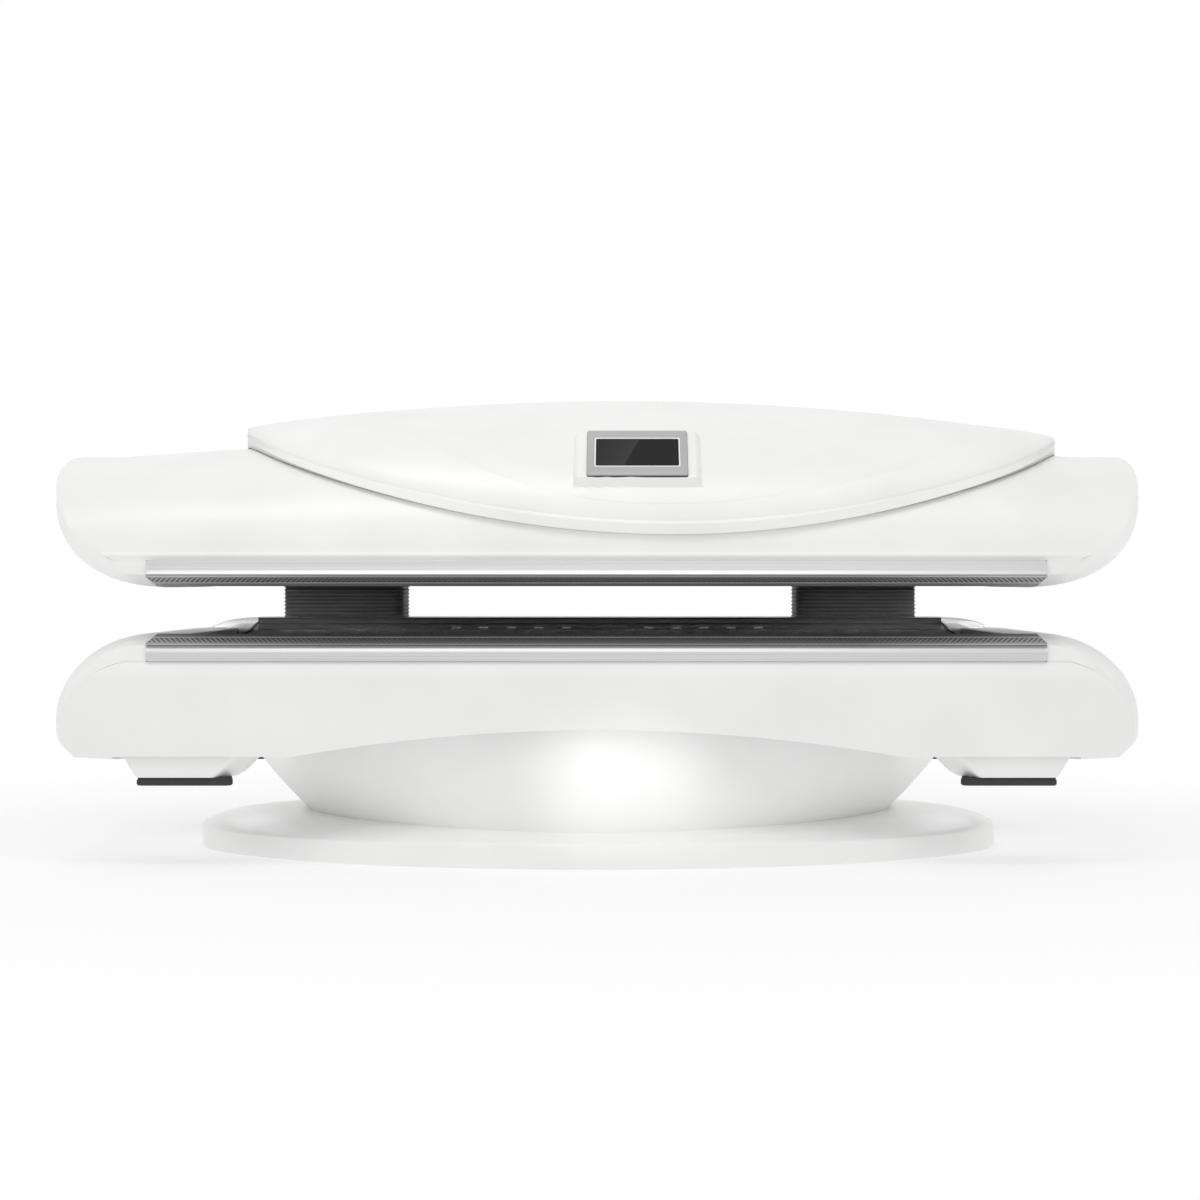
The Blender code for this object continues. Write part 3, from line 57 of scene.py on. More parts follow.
def addNode(tree, kind, inputs=None, **settings):
    made = tree.nodes.new("ShaderNode" + kind)
    for key, value in settings.items():
        setattr(made, key, value)
    for key, value in (inputs or {}).items():
        if isinstance(value, bpy.types.NodeSocket):
            tree.links.new(value, made.inputs[key])
        else:
            made.inputs[key].default_value = value
    return made


def startMaterial(name, **sockets):  # a Principled material, with its Object coordinates at hand
    material = bpy.data.materials.new(name)
    material.use_nodes = True
    tree = material.node_tree
    shader = tree.nodes["Principled BSDF"]
    for key, value in sockets.items():
        shader.inputs[key.replace("_", " ")].default_value = value
    return material, tree, shader, addNode(tree, "TexCoord").outputs["Object"]


def mathNode(tree, operation, *values):
    return addNode(tree, "Math", dict(enumerate(values)), operation=operation).outputs["Value"]


def mapRange(tree, value, start, end, low=0.0, high=1.0, **settings):
    limits = {"From Min": start, "From Max": end, "To Min": low, "To Max": high}
    return addNode(tree, "MapRange", {"Value": value, **limits}, **settings).outputs["Result"]


def mixColour(tree, share, a, b):
    return addNode(tree, "Mix", {"Factor": share, "A": a, "B": b}, data_type="RGBA").outputs["Result"]


def addRamp(tree, value, stops):
    ramp = addNode(tree, "ValToRGB", {"Fac": value})
    band = ramp.color_ramp
    while len(band.elements) < len(stops):
        band.elements.new(0.5)
    for element, (place, code) in zip(band.elements, stops):
        element.position = place
        element.color = srgb(code)
    return ramp.outputs["Color"]


def noise(tree, coords, size, detail):  # patches of this size in metres
    return addNode(tree, "TexNoise", {"Vector": coords, "Scale": 1 / size, "Detail": detail}).outputs["Fac"]


def streaks(tree, coords, size, stretch, detail):  # noise drawn out along X
    drawn = addNode(tree, "Mapping", {"Vector": coords, "Scale": (stretch, 1 / size, 1 / size)})
    return noise(tree, drawn.outputs["Vector"], 1.0, detail)


# colour, roughness spread over the gloss noise, bump of a strength and depth from the relief
def setSurface(tree, shader, colour, gloss=None, rough=None, relief=None, bump=None, invert=False):
    tree.links.new(colour, shader.inputs["Base Color"])
    if rough:
        tree.links.new(mapRange(tree, gloss, 0.0, 1.0, *rough), shader.inputs["Roughness"])
    if bump:
        raised = addNode(tree, "Bump", {"Height": relief, "Strength": bump[0], "Distance": bump[1]}, invert=invert)
        tree.links.new(raised.outputs["Normal"], shader.inputs["Normal"])


# mesh from numpy grids

def unit(v):
    return v / np.maximum(np.linalg.norm(v, axis=-1, keepdims=True), 1e-12)


def step(t):  # smooth step, 3t^2 - 2t^3
    t = np.clip(t, 0, 1)
    return t * t * (3 - 2 * t)


# points and quads of a rows x columns grid, the last column joined to the first by wrap
def sheet(grid, wrap=False):
    rows, cols = grid.shape[:2]
    i, j = np.meshgrid(np.arange(rows - 1), np.arange(cols if wrap else cols - 1), indexing="ij")
    k = (j + 1) % cols
    quads = np.stack([i * cols + j, i * cols + k, (i + 1) * cols + k, (i + 1) * cols + j], -1)
    return grid.reshape(-1, 3), quads.reshape(-1, 4)


def ringTube(rings):  # rings joined one after another, and the last to the first
    return sheet(np.concatenate([rings, rings[:1]]), wrap=True)


def capped(rings):  # a stack of rings, closed by a fan to the middle of the first and of the last one
    middle = rings.mean(axis=1, keepdims=True) + np.zeros_like(rings)
    return sheet(np.concatenate([middle[:1], rings, middle[-1:]]), wrap=True)


def alongX(profile, xs):  # a closed (y, z) profile carried along X, capped
    rings = np.empty((len(xs), len(profile), 3))
    rings[..., 0] = np.asarray(xs)[:, None]
    rings[..., 1:] = profile
    return capped(rings)


def atHeights(plans, z):  # flat (x, y) plans, each at its height
    return np.concatenate([plans, np.broadcast_to(np.asarray(z)[:, None, None], plans.shape[:2] + (1,))], -1)


def evenSteps(places, counts):  # from each place to the next in even steps, with so many values for each stretch
    parts = [np.linspace(a, b, n) for a, b, n in zip(places, places[1:], counts)]
    return np.concatenate([parts[0]] + [part[1:] for part in parts[1:]])


def superRings(halfX, halfY, z, power, count):  # rings |x/a|^n + |y/b|^n = 1, one for each height
    turn = np.linspace(0, 2 * np.pi, count, endpoint=False)
    cx = np.sign(np.cos(turn)) * np.abs(np.cos(turn)) ** (2 / power)
    cy = np.sign(np.sin(turn)) * np.abs(np.sin(turn)) ** (2 / power)
    halfX, halfY, z = [np.asarray(v, float)[:, None] for v in (halfX, halfY, z)]
    return np.stack([halfX * cx, halfY * cy, z + 0 * cx], -1)


def roundRect(halfX, halfY, radius, steps=6):  # rectangles with quarter circles at the corners, one for each size
    turn = (np.linspace(0, np.pi / 2, steps) + np.arange(4)[:, None] * np.pi / 2).ravel()
    sx, sy = np.repeat([1, -1, -1, 1], steps), np.repeat([1, 1, -1, -1], steps)
    columns = [np.atleast_1d(v).astype(float)[:, None] for v in (halfX, halfY, radius)]
    halfX, halfY, radius = np.broadcast_arrays(*columns)
    x, y = sx * (halfX - radius) + radius * np.cos(turn), sy * (halfY - radius) + radius * np.sin(turn)
    return np.stack([x, y], -1)


# each corner becomes a quadratic curve that starts and ends radius away from it
def roundPolygon(corners, radius, steps=5):
    corners = np.asarray(corners, float)
    before, after = np.roll(corners, 1, 0), np.roll(corners, -1, 0)
    a = corners + unit(before - corners) * radius
    b = corners + unit(after - corners) * radius
    t = np.linspace(0, 1, steps)[None, :, None]
    curve = (1 - t) ** 2 * a[:, None] + 2 * t * (1 - t) * corners[:, None] + t * t * b[:, None]
    return curve.reshape(-1, corners.shape[1])


# sheets joined to one mesh and shaded, with its wall and rounded edges, on its body and in place of its nodes
def piece(name, sheets, look, body, nodes=(), slot=None, wall=0.0, edge=0.0, inside=None, window=None, sharp=35):
    if isinstance(look, str):  # one of the finishes
        look, slot = finish[look], slot or look
    starts = np.cumsum([0] + [len(spots) for spots, faces in sheets])
    mesh = bpy.data.meshes.new(name)
    points = np.concatenate([spots for spots, faces in sheets])
    quads = np.concatenate([faces + start for (spots, faces), start in zip(sheets, starts)])
    mesh.from_pydata(points.tolist(), [], quads.tolist())
    shape = bmesh.new()
    shape.from_mesh(mesh)
    bmesh.ops.remove_doubles(shape, verts=shape.verts, dist=2e-6)
    if window:  # a rectangle cut out of an upright sheet, between two (x, z) corners
        (left, low), (right, high) = window
        for axis, at in ((0, left), (0, right), (2, low), (2, high)):
            spot, way = [0, 0, 0], [0, 0, 0]
            spot[axis], way[axis] = at, 1
            parts = shape.verts[:] + shape.edges[:] + shape.faces[:]
            bmesh.ops.bisect_plane(shape, geom=parts, plane_co=spot, plane_no=way)
        middles = [(face, face.calc_center_median()) for face in shape.faces]
        gone = [face for face, c in middles if left < c.x < right and low < c.z < high]
        bmesh.ops.delete(shape, geom=gone, context="FACES")
    bmesh.ops.recalc_face_normals(shape, faces=shape.faces)
    if inside is not None:  # an open sheet faces away from this point
        outwards = sum((np.array(f.calc_center_median()) - inside) @ np.array(f.normal) * f.calc_area() for f in shape.faces)
        if outwards < 0:
            bmesh.ops.reverse_faces(shape, faces=shape.faces)
    shape.to_mesh(mesh)
    shape.free()
    mesh.shade_smooth()
    mesh.set_sharp_from_angle(angle=math.radians(sharp))
    mesh.materials.append(look)
    obj = bpy.data.objects.new(name, mesh)
    scene.collection.objects.link(obj)
    if wall:
        solid = obj.modifiers.new("wall", "SOLIDIFY")
        solid.thickness, solid.offset = wall, -1
    if edge:
        rounding = obj.modifiers.new("edge", "BEVEL")
        rounding.width, rounding.segments, rounding.limit_method = edge, 2, "ANGLE"
        rounding.angle_limit, rounding.harden_normals = math.radians(50), True
    if body:
        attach(obj, body)
    if nodes:
        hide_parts(*nodes)
    return obj


# materials

# White ABS, vacuum formed: a cool white with a broad soft sheen, slightly uneven over hand-sized areas,
# and a faint orange peel; paint and powder coat look alike in their own colours
def makeAbs(name, light, dark, rough, grain=0.06):
    material, tree, shader, coords = startMaterial(name, IOR=1.54, Coat_Weight=0.05, Coat_Roughness=0.15)
    cloud = noise(tree, coords, 0.180, 3.0)  # 180 mm clouds
    smear = noise(tree, coords, 0.035, 4.0)  # 35 mm wipe marks
    peel = noise(tree, coords, 0.006, 1.0)  # 6 mm, real peel is 2 mm
    colour = addRamp(tree, cloud, [(0.3, dark), (0.7, light)])
    setSurface(tree, shader, colour, smear, (rough - 0.04, rough + 0.05), peel, (grain, 0.0004))
    return material


# Anodised aluminium extrusion: satin grey with fine draw lines along its length
def makeAluminium(name, light, dark, rough, metallic=1.0):
    material, tree, shader, coords = startMaterial(name, Metallic=metallic)
    lines = streaks(tree, coords, 0.0015, 1.5, 2.0)  # 1.5 mm lines, coarser than real
    colour = addRamp(tree, lines, [(0.35, dark), (0.65, light)])
    setSurface(tree, shader, colour, lines, (rough - 0.06, rough + 0.06), lines, (0.05, 0.0003))
    return material


# Co-extruded dark PVC: matt grey, paler towards its ends, with slanted grip slots 8.7 mm apart on the front part
# that lean outwards going back and are painted darker as shade in them, a painted highlight on the bead behind them and
# a plain dark strip
def makeLip(name, foreTones, beadHighlightTone, rearTones):
    material, tree, shader, coords = startMaterial(name, Roughness=0.55, IOR=1.53)
    axes = addNode(tree, "SeparateXYZ", {"Vector": coords}).outputs
    out = mathNode(tree, "ABSOLUTE", axes["X"])
    slant = mathNode(tree, "MULTIPLY_ADD", axes["Y"], -0.35, out)
    wave = mathNode(tree, "SINE", mathNode(tree, "MULTIPLY", slant, 2 * math.pi / 0.0087))
    place = mapRange(tree, axes["Y"], -0.430, -0.322)  # share of the strip's depth
    front = mathNode(tree, "MULTIPLY", mapRange(tree, place, 0.05, 0.25), mapRange(tree, place, 0.55, 0.60, 1.0, 0.0))
    cut = mathNode(tree, "MULTIPLY", mapRange(tree, wave, -0.1, 0.6), front)
    # the paler band on the bead is a painted highlight
    middle, tip = [addRamp(tree, place, [
        (0.0, ahead), (0.58, ahead), (0.61, beadHighlightTone), (0.66, beadHighlightTone), (0.69, behind), (1.0, behind)])
        for ahead, behind in zip(foreTones, rearTones)]
    ground = mixColour(tree, mapRange(tree, out, 0.45, 0.70), middle, tip)
    # the slots are painted dark, a painted shade in the grooves
    setSurface(tree, shader, mixColour(tree, cut, ground, srgb("4a4a4a")), relief=cut, bump=(0.4, 0.0008), invert=True)
    return material


# Moulded rubber: near black, matt, greyed by a little dust in patches; a sleeve is paler along its outer folds
def makeRubber(name, dark, dusty, rough, foldTone=None):
    material, tree, shader, coords = startMaterial(name, IOR=1.52)
    dust = noise(tree, coords, 0.030, 5.0)  # 30 mm patches
    grain = noise(tree, coords, 0.0025, 2.0)  # 2.5 mm, real grain is 0.5 mm
    colour = addRamp(tree, dust, [(0.35, dark), (0.75, dusty)])
    if foldTone:
        fold = addNode(tree, "Attribute", attribute_name="fold")
        colour = mixColour(tree, fold.outputs["Fac"], colour, srgb(foldTone))
    setSurface(tree, shader, colour, dust, (rough - 0.08, rough + 0.1), grain, (0.15, 0.0005))
    return material


# Cast acrylic: clear, with hairline scratches that only show in the gloss
def makeAcrylic(name):
    material, tree, shader, coords = startMaterial(name, IOR=1.49, Transmission_Weight=1.0)
    hairs = streaks(tree, coords, 0.003, 4, 3.0)  # 3 mm apart, along the bed
    setSurface(tree, shader, addRamp(tree, hairs, [(0.3, "eef0f0"), (0.7, "f6f7f7")]), hairs, (0.02, 0.09))
    return material


# Capacitive touch panel: black glass with a painted reflection, a paler grey that ends along a slant and fades away
# from it, and finger smears in the gloss
def makeScreen(name):
    material, tree, shader, coords = startMaterial(name, IOR=1.52, Specular_IOR_Level=0.10)
    turned = addNode(tree, "Mapping", {"Vector": coords, "Location": (-0.040, 0, 0)})
    axes = addNode(tree, "SeparateXYZ", {"Vector": turned.outputs["Vector"]}).outputs
    lean = mathNode(tree, "MULTIPLY_ADD", axes["Z"], 0.55, -0.372)
    slant = mapRange(tree, mathNode(tree, "SUBTRACT", lean, axes["X"]), -0.003, 0.097)
    # the paler grey on the slant is a painted reflection
    colour = addRamp(tree, slant, [(0.0, "1c1c1c"), (0.02, "1c1c1c"), (0.06, "363636"), (1.0, "1c1c1c")])
    setSurface(tree, shader, colour, noise(tree, coords, 0.020, 4.0), (0.06, 0.2))  # 20 mm smears
    return material


finish = {
    "white_abs": makeAbs("gloss_white_abs", "f3f3f2", "ededec", 0.36),
    "grey_abs": makeAbs("satin_white_abs", "ececea", "e4e4e2", 0.38),
    "bright_aluminium": makeAluminium("anodised_aluminium", "d6d6d6", "cacaca", 0.36, 0.5),
    "dark_lip": makeLip("dark_pvc_lip", ("747474", "a8a8a8"), "c4c4c4", ("646464", "787878")),
    "black_rubber": makeRubber("moulded_rubber", "242424", "333333", 0.62),
    "clear_acrylic": makeAcrylic("cast_acrylic"),
    "lamp_tray": makeAluminium("black_lamp_board", "3e3e40", "333335", 0.5, 0.1),
    "painted_steel": makeAbs("powder_coated_steel", "e4e5e6", "d9dadc", 0.5),
    "column_steel": makeAluminium("drawn_steel_tube", "c2c5c9", "b2b5ba", 0.38),
    "black_plastic": makeRubber("black_nylon", "191919", "242424", 0.48),
    "bezel_grey": makeAbs("painted_grey_bezel", "b4b4b4", "a8a8a8", 0.36),
    "screen_glass": makeScreen("touch_glass"),
    "circuit_board": makeAbs("green_solder_mask", "2f6040", "275237", 0.4),
}
pleatedRubber = makeRubber("pleated_rubber", "303030", "363636", 0.60, "606060")
upperLipPaintedPaler = makeLip("dark_pvc_lip_painted_paler", ("828282", "b4b4b4"), "cccccc", ("9a9a9a", "a4a4a4"))  # the same PVC painted paler, to make up for the light it misses as it faces down
glossAbs = makeAbs("polished_white_abs", "f6f6f5", "f0f0ef", 0.34, 0.01)
darkRail = makeAluminium("dark_anodised_rail", "404040", "383838", 0.45, 0.15)
greyPlate = makeAbs("painted_grey_plate", "cfcfcf", "c4c4c4", 0.35)
lensEpoxy = makeAbs("lens_epoxy", "dfe3e3", "cfd4d4", 0.10)
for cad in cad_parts.values():
    for held in cad.material_slots:
        held.material = finish[held.material.name.split(".")[0]]
print("materials:", len(finish))


sides = (("left", -1), ("right", 1))


# foot and pedestal

foot = {"halfLength": 0.739, "halfDepth": 0.430, "rim": 0.043, "round": 0.004, "dome": 0.029, "reach": 0.045}
# ellipses up the rim and its two small roundings, then over a low dome that flattens out,
# z = rim + dome (1 - e^(-d / reach)) at d inwards from the rim
turn = np.radians(np.linspace(0, 90, 7))
inward = np.concatenate([[0.03], foot["round"] * (1 - np.sin(turn)), [0.0], foot["round"] * (1 - np.cos(turn[:5]))])
overRim = foot["rim"] - foot["round"] * (0.9 - np.sin(turn[:5]))
upward = np.concatenate([[0.0], foot["round"] * (1 - np.cos(turn)), [0.02], overRim])
d = np.linspace(0.05, 1, 24) ** 1.5 * 0.35
inset = np.concatenate([inward, d])
height = np.concatenate([upward, foot["rim"] + foot["dome"] * (1 - np.exp(-d / foot["reach"]))])
rings = superRings(foot["halfLength"] - inset, foot["halfDepth"] - inset, height, 2.0, 480)
piece("oval_foot", [capped(rings)], glossAbs, "base", ["base_disc"], "white_abs")

pedestal = {"halfLength": 0.525, "halfDepth": 0.392, "flareLength": 0.145, "flareDepth": 0.006, "flarePower": 1.35,
            "low": 0.0560, "high": 0.2397, "wall": 0.005}
# ellipses that grow from the foot, a little under the dome, to the head, fastest at the foot; outside up, inside down
h = np.linspace(0, pedestal["high"] - pedestal["low"], 49)
grow = 1 - (1 - h / h[-1]) ** pedestal["flarePower"]
halfX = pedestal["halfLength"] + pedestal["flareLength"] * grow
halfY = pedestal["halfDepth"] + pedestal["flareDepth"] * grow
outer = superRings(halfX, halfY, pedestal["low"] + h, 2.0, 240)
inner = superRings(halfX - pedestal["wall"], halfY - pedestal["wall"], pedestal["low"] + h, 2.0, 240)
walls = ringTube(np.concatenate([outer, inner[::-1]]))
piece("waisted_pedestal", [walls], "white_abs", "base", ["pedestal_shell"])
print("foot and pedestal made")


# tub

tub = {"halfLength": 0.958, "halfDepth": 0.430, "top": 0.354, "crease": 0.331, "bottom": 0.190, "lean": 0.030, "tilt": 0.042,
       "archTop": 0.2365, "archDrop": 0.1008,
       "seamX": 0.770, "seamReach": 0.148, "seamZ": 0.233, "seamRise": 0.125, "seamFall": 0.080,
       "endReach": 0.180, "endZ": 0.250, "endBottom": 0.178, "endInner": 0.830, "endTurn": -68, "crest": 0.400,
       "trimEnd": 0.767, "trimTop": 0.3824, "lipDepth": 0.108, "gap": 0.0005, "wall": 0.004, "edge": 0.0007,
       "inlet": ((-0.6313, 0.2517), (-0.5687, 0.2843))}
taper = {"depth": 0.180, "power": 1.6, "fade": 0.110, "knee": 0.08, "lip": 0.65}


def tubSeamX(z):  # half length of the long faces, an ellipse above the widest line and another below it
    rise = np.where(z > tub["seamZ"], tub["seamRise"], tub["seamFall"])
    return tub["seamX"] + tub["seamReach"] * np.sqrt(np.clip(1 - ((z - tub["seamZ"]) / rise) ** 2, 0, 1))


def tubDepth(z):  # leans in below the crease and a little above it, the crease rounded by the root
    drop = (tub["crease"] - z) / (tub["crease"] - tub["bottom"])
    root = np.sqrt(drop**2 + 0.02**2)
    return tub["halfDepth"] - 0.5 * tub["lean"] * (root + drop) - 0.5 * tub["tilt"] * (root - drop)


skirtAbove = evenSteps([tub["top"], tub["crease"], tub["seamZ"]], [8, 22])
skirtBelow = np.linspace(tub["seamZ"], tub["bottom"], 12)[1:]


def skirtSheet(sign):  # level rows above the crease, below it rows that follow the arched lower edge
    u = np.linspace(-1, 1, 161)
    endZ = np.concatenate([skirtAbove, skirtBelow])
    arch = tub["archTop"] - tub["archDrop"] * (u * tubSeamX(tub["bottom"]) / tub["seamX"]) ** 2
    lower = np.maximum(tub["bottom"], arch)
    share = np.clip((tub["crease"] - endZ) / (tub["crease"] - tub["bottom"]), 0, 1)
    z = endZ[:, None] + share[:, None] * (lower - tub["bottom"])
    x = u * (tubSeamX(endZ)[:, None] - tub["gap"])
    return np.stack([x, sign * tubDepth(z), z], -1)


def endSheet(sign, seam, outline, halfDepth, knee, lip, lipDepth):
    # each row leaves the front seam, grows to the outline over the taper, and comes back to the rear seam.
    # next to the trim it first follows the trim's face and the lip, and this fades out along the outline
    spots = [0, taper["knee"], taper["lip"], 1]
    t = evenSteps(spots, [6, 16, 8])
    edgeShare, edgeInset = [np.interp(t, spots, v) for v in ([0, knee, lip, 1], [0, 0, lipDepth, taper["depth"]])]
    fade = step((outline[:, 0] - tub["trimEnd"]) / taper["fade"])[:, None]
    share = edgeShare + fade * (1 - (1 - t) ** taper["power"] - edgeShare)
    inset = edgeInset + fade * (taper["depth"] * t - edgeInset)
    share, inset = [np.concatenate([v, v[:, ::-1]], 1) for v in (share, inset)]
    side = np.repeat([-1.0, 1.0], len(t))
    points = seam[:, None] + share[..., None] * (outline - seam)[:, None]
    depth = side * np.maximum(halfDepth[:, None] - inset, 0)
    return np.stack([sign * points[..., 0], depth, points[..., 1]], -1)


def tubEnd(sign):
    heights = np.concatenate([skirtAbove, skirtBelow])
    apart = np.where(np.arange(len(heights)) < len(skirtAbove), tub["gap"], -tub["gap"])
    apart[(heights > tub["crease"]) | (heights == tub["seamZ"])] = 0  # closed near the trim and at the widest line
    curve = np.column_stack([tubSeamX(heights), heights + apart])
    seam = np.concatenate([[(tub["trimEnd"] + tub["gap"], curve[0, 1])], curve, [(tub["endInner"], curve[-1, 1])]])
    over = np.radians(np.linspace(90, 0, len(skirtAbove)))
    under = np.radians(np.linspace(0, tub["endTurn"], len(skirtBelow) + 1))[1:]
    middle, reach = tub["halfLength"] - tub["endReach"], tub["endReach"]
    upper = np.column_stack([middle + reach * np.cos(over), tub["endZ"] + (tub["crest"] - tub["endZ"]) * np.sin(over)])
    fall = (tub["endZ"] - tub["endBottom"]) * np.abs(np.sin(under)) ** 0.5
    lower = np.column_stack([middle + reach * np.cos(under) ** 0.5, tub["endZ"] - fall])
    first, last = (tub["trimEnd"] + tub["gap"], tub["crest"]), (tub["endInner"], tub["endBottom"])
    outline = np.concatenate([[first], upper, lower, [last]])
    knee = (tub["trimTop"] - tub["top"]) / (tub["crest"] - tub["top"])
    return endSheet(sign, seam, outline, tubDepth(seam[:, 1]), knee, 1.0, tub["lipDepth"])


for row, sign, window in (("front", -1, None), ("rear", 1, tub["inlet"])):
    piece(f"tub_{row}_panel", [sheet(skirtSheet(sign))], "white_abs", "base", [f"tub_{row}_skirt"],
          wall=tub["wall"], edge=tub["edge"], inside=np.array([0, 0, 0.24]), window=window)
for side, sign in sides:
    piece("tub_end_cap_" + side, [sheet(tubEnd(sign))], "white_abs", "base", ["tub_end_" + side],
          wall=tub["wall"], edge=tub["edge"], inside=np.array([sign * 0.75, 0, 0.28]))
print("tub made")


# legs with their pads

leg = {"footX": (0.6246, 0.7925), "kneeX": (0.585, 0.8165), "headX": (0.572, 0.820), "y": (0.245, 0.392),
       "z": (0.154, 0.194, 0.2397), "facet": (0.033, 0.050), "round": 0.007}
pad = {"inset": 0.0015, "taper": 0.024, "top": 0.1537, "bottom": 0.140, "bevel": 0.0025, "facet": (0.006, 0.010)}


# outer side, front with its inner corner cut by a facet, inner side and back
def legPlan(xs, inset=0.0, facet=leg["facet"], taper=0.0):
    x0, x1, y0, y1 = xs[0] + inset, xs[1] - inset, leg["y"][0] + inset, leg["y"][1] - inset
    return roundPolygon([(x1, y0), (x1, y1), (x0 + facet[0], y1), (x0, y1 - facet[1]), (x0 + taper, y0)], leg["round"])


# the three plans are blended over the height, with more rows near the knee
low, knee, head = [legPlan(leg[key]) for key in ("footX", "kneeX", "headX")]
footZ, kneeZ, headZ = leg["z"]
zs = np.concatenate([np.linspace(footZ, kneeZ - 0.012, 6), np.linspace(kneeZ - 0.008, kneeZ + 0.012, 7),
                     np.linspace(kneeZ + 0.016, headZ, 5)])
a = np.interp(zs, leg["z"], [0, 1, 2])[:, None, None]
plans = np.where(a < 1, low + a * (knee - low), knee + (a - 1) * (head - knee))
plans[0] += (plans[0].mean(0) - plans[0]) * 0.02  # small rounding at the foot
legRings = atHeights(plans, zs)
# pad from its underside over a bevel and up the side, with a small step under the leg
padInsets = pad["inset"] + np.array([0.012, pad["bevel"], 0.0, 0.0, 0.0015, 0.0015])
padZ = np.concatenate([pad["bottom"] + np.array([0, 0, pad["bevel"]]), pad["top"] - np.array([0.004, 0.003, 0])])
padRings = atHeights(np.stack([legPlan(leg["footX"], d, pad["facet"], pad["taper"]) for d in padInsets]), padZ)
for row, sy in (("front", -1), ("rear", 1)):
    for side, sx in sides:
        flip = np.array([sx, sy, 1])
        piece(f"leg_shell_{row}_{side}", [capped(legRings * flip)], "white_abs", "base", [f"leg_{row}_{side}"], sharp=25)
        piece(f"leg_pad_{row}_{side}", [capped(padRings * flip)], "black_rubber", "base", [f"foot_pad_{row}_{side}"])
print("legs made")


# front trims and lips

trim = {"half": 0.767, "front": -0.430, "back": -0.415, "corner": 0.004, "lower": (0.3543, 0.3824), "upper": (0.5016, 0.5270)}
lip = {"rear": -0.322, "bead": 0.65, "beadHeight": 0.0012, "sunk": 0.0008}


# the profile along X; near the ends one long edge draws in by a quarter circle
def trimRings(profile, low, high, cornerAtTop):
    half, corner = trim["half"], trim["corner"]
    xs = np.concatenate([np.linspace(-half, -half + corner, 9), np.linspace(half - corner, half, 9)])
    out = np.clip((np.abs(xs) - half + corner) / corner, 0, 1)
    drawn = corner * (1 - np.sqrt(1 - np.minimum(out, 0.999) ** 2))
    keep = 1 - drawn / (high - low)
    rings = np.empty((len(xs), len(profile), 3))
    rings[..., 0], rings[..., 1] = xs[:, None], profile[:, 0]
    z = profile[:, 1]
    rings[..., 2] = low + (z - low) * keep[:, None] if cornerAtTop else high - (high - z) * keep[:, None]
    return rings


# on both, the facet that faces up a little catches the light
back, (low, high) = trim["back"], trim["lower"]
lowerTrim = roundPolygon([(back, low), (-0.4270, low), (trim["front"], 0.3708), (-0.4237, high), (back, high)], 0.0012)
rings = trimRings(lowerTrim, low, high, False)
piece("lower_trim_strip", [capped(rings)], "bright_aluminium", "base", ["lower_front_trim"], sharp=40)
low, high = trim["upper"]
upperTrim = roundPolygon([(back, low), (-0.4262, low), (-0.4298, 0.5024), (trim["front"], 0.5032), (-0.4262, 0.5099),
                          (-0.4275, 0.5262), (-0.4262, high), (back, high)], 0.0007)
rings = trimRings(upperTrim, low, high, True)
piece("upper_trim_strip", [capped(rings)], "bright_aluminium", "canopy", ["canopy_front_trim"], sharp=40)


# seen face from the trim to the crest with a bead on it, and the plain face behind
def lipProfile(front, rear, under):
    s = np.concatenate([np.linspace(0, 0.6, 6), np.linspace(0.61, 0.69, 9), np.linspace(0.7, 1, 5)])
    y = trim["front"] + s * (lip["rear"] - trim["front"])
    way = np.sign(rear - front)  # the bead stands towards the gap
    bead = lip["beadHeight"] * np.clip(1 - ((s - lip["bead"]) / 0.03) ** 2, 0, 1)
    bead = bead - lip["sunk"] * step((0.6 - s) / 0.02) * step(s / 0.03)  # the slotted part lies lower
    seen = np.column_stack([y, front + s * (rear - front) + way * np.minimum(bead, lip["beadHeight"] * (1 - s))])
    return np.concatenate([seen, [(lip["rear"], under[1]), (trim["front"], under[0])]])


xs = [-trim["half"], trim["half"]]
lowerProfile, upperProfile = lipProfile(0.3852, 0.4000, (0.3827, 0.3940)), lipProfile(0.4988, 0.4827, (0.5013, 0.4887))
piece("lower_lip_strip", [alongX(lowerProfile, xs)], "dark_lip", "base", ["lower_front_lip"])
piece("upper_lip_strip", [alongX(upperProfile, xs)], upperLipPaintedPaler, "canopy", ["canopy_front_lip"], "dark_lip")
print("trims and lips made")


# trough, arch of lamps, rear housing

lamps = {"half": 0.7117, "front": -0.319, "rear": 0.2347, "sheet": 0.005, "gap": 0.010, "tray": 0.003,
         "pitchX": 0.046, "pitchArc": 0.042, "lens": 0.008, "margin": 0.02}


def lampArc(rim, depth, sign, offset, count):  # circle through the two rims that is depth high, offset outwards
    half = (lamps["rear"] - lamps["front"]) / 2
    radius = (half**2 + depth**2) / (2 * depth)
    reach = radius + offset
    turn = np.linspace(-1, 1, count) * math.asin(half / reach)
    y = (lamps["front"] + lamps["rear"]) / 2 + reach * np.sin(turn)
    z = rim + sign * (depth - radius + reach * np.cos(turn))
    return np.column_stack([y, z]), turn, reach


def lampBand(rim, depth, sign, low, high):  # closed profile between two of these arcs
    return np.concatenate([lampArc(rim, depth, sign, high, 65)[0], lampArc(rim, depth, sign, low, 65)[0][::-1]])


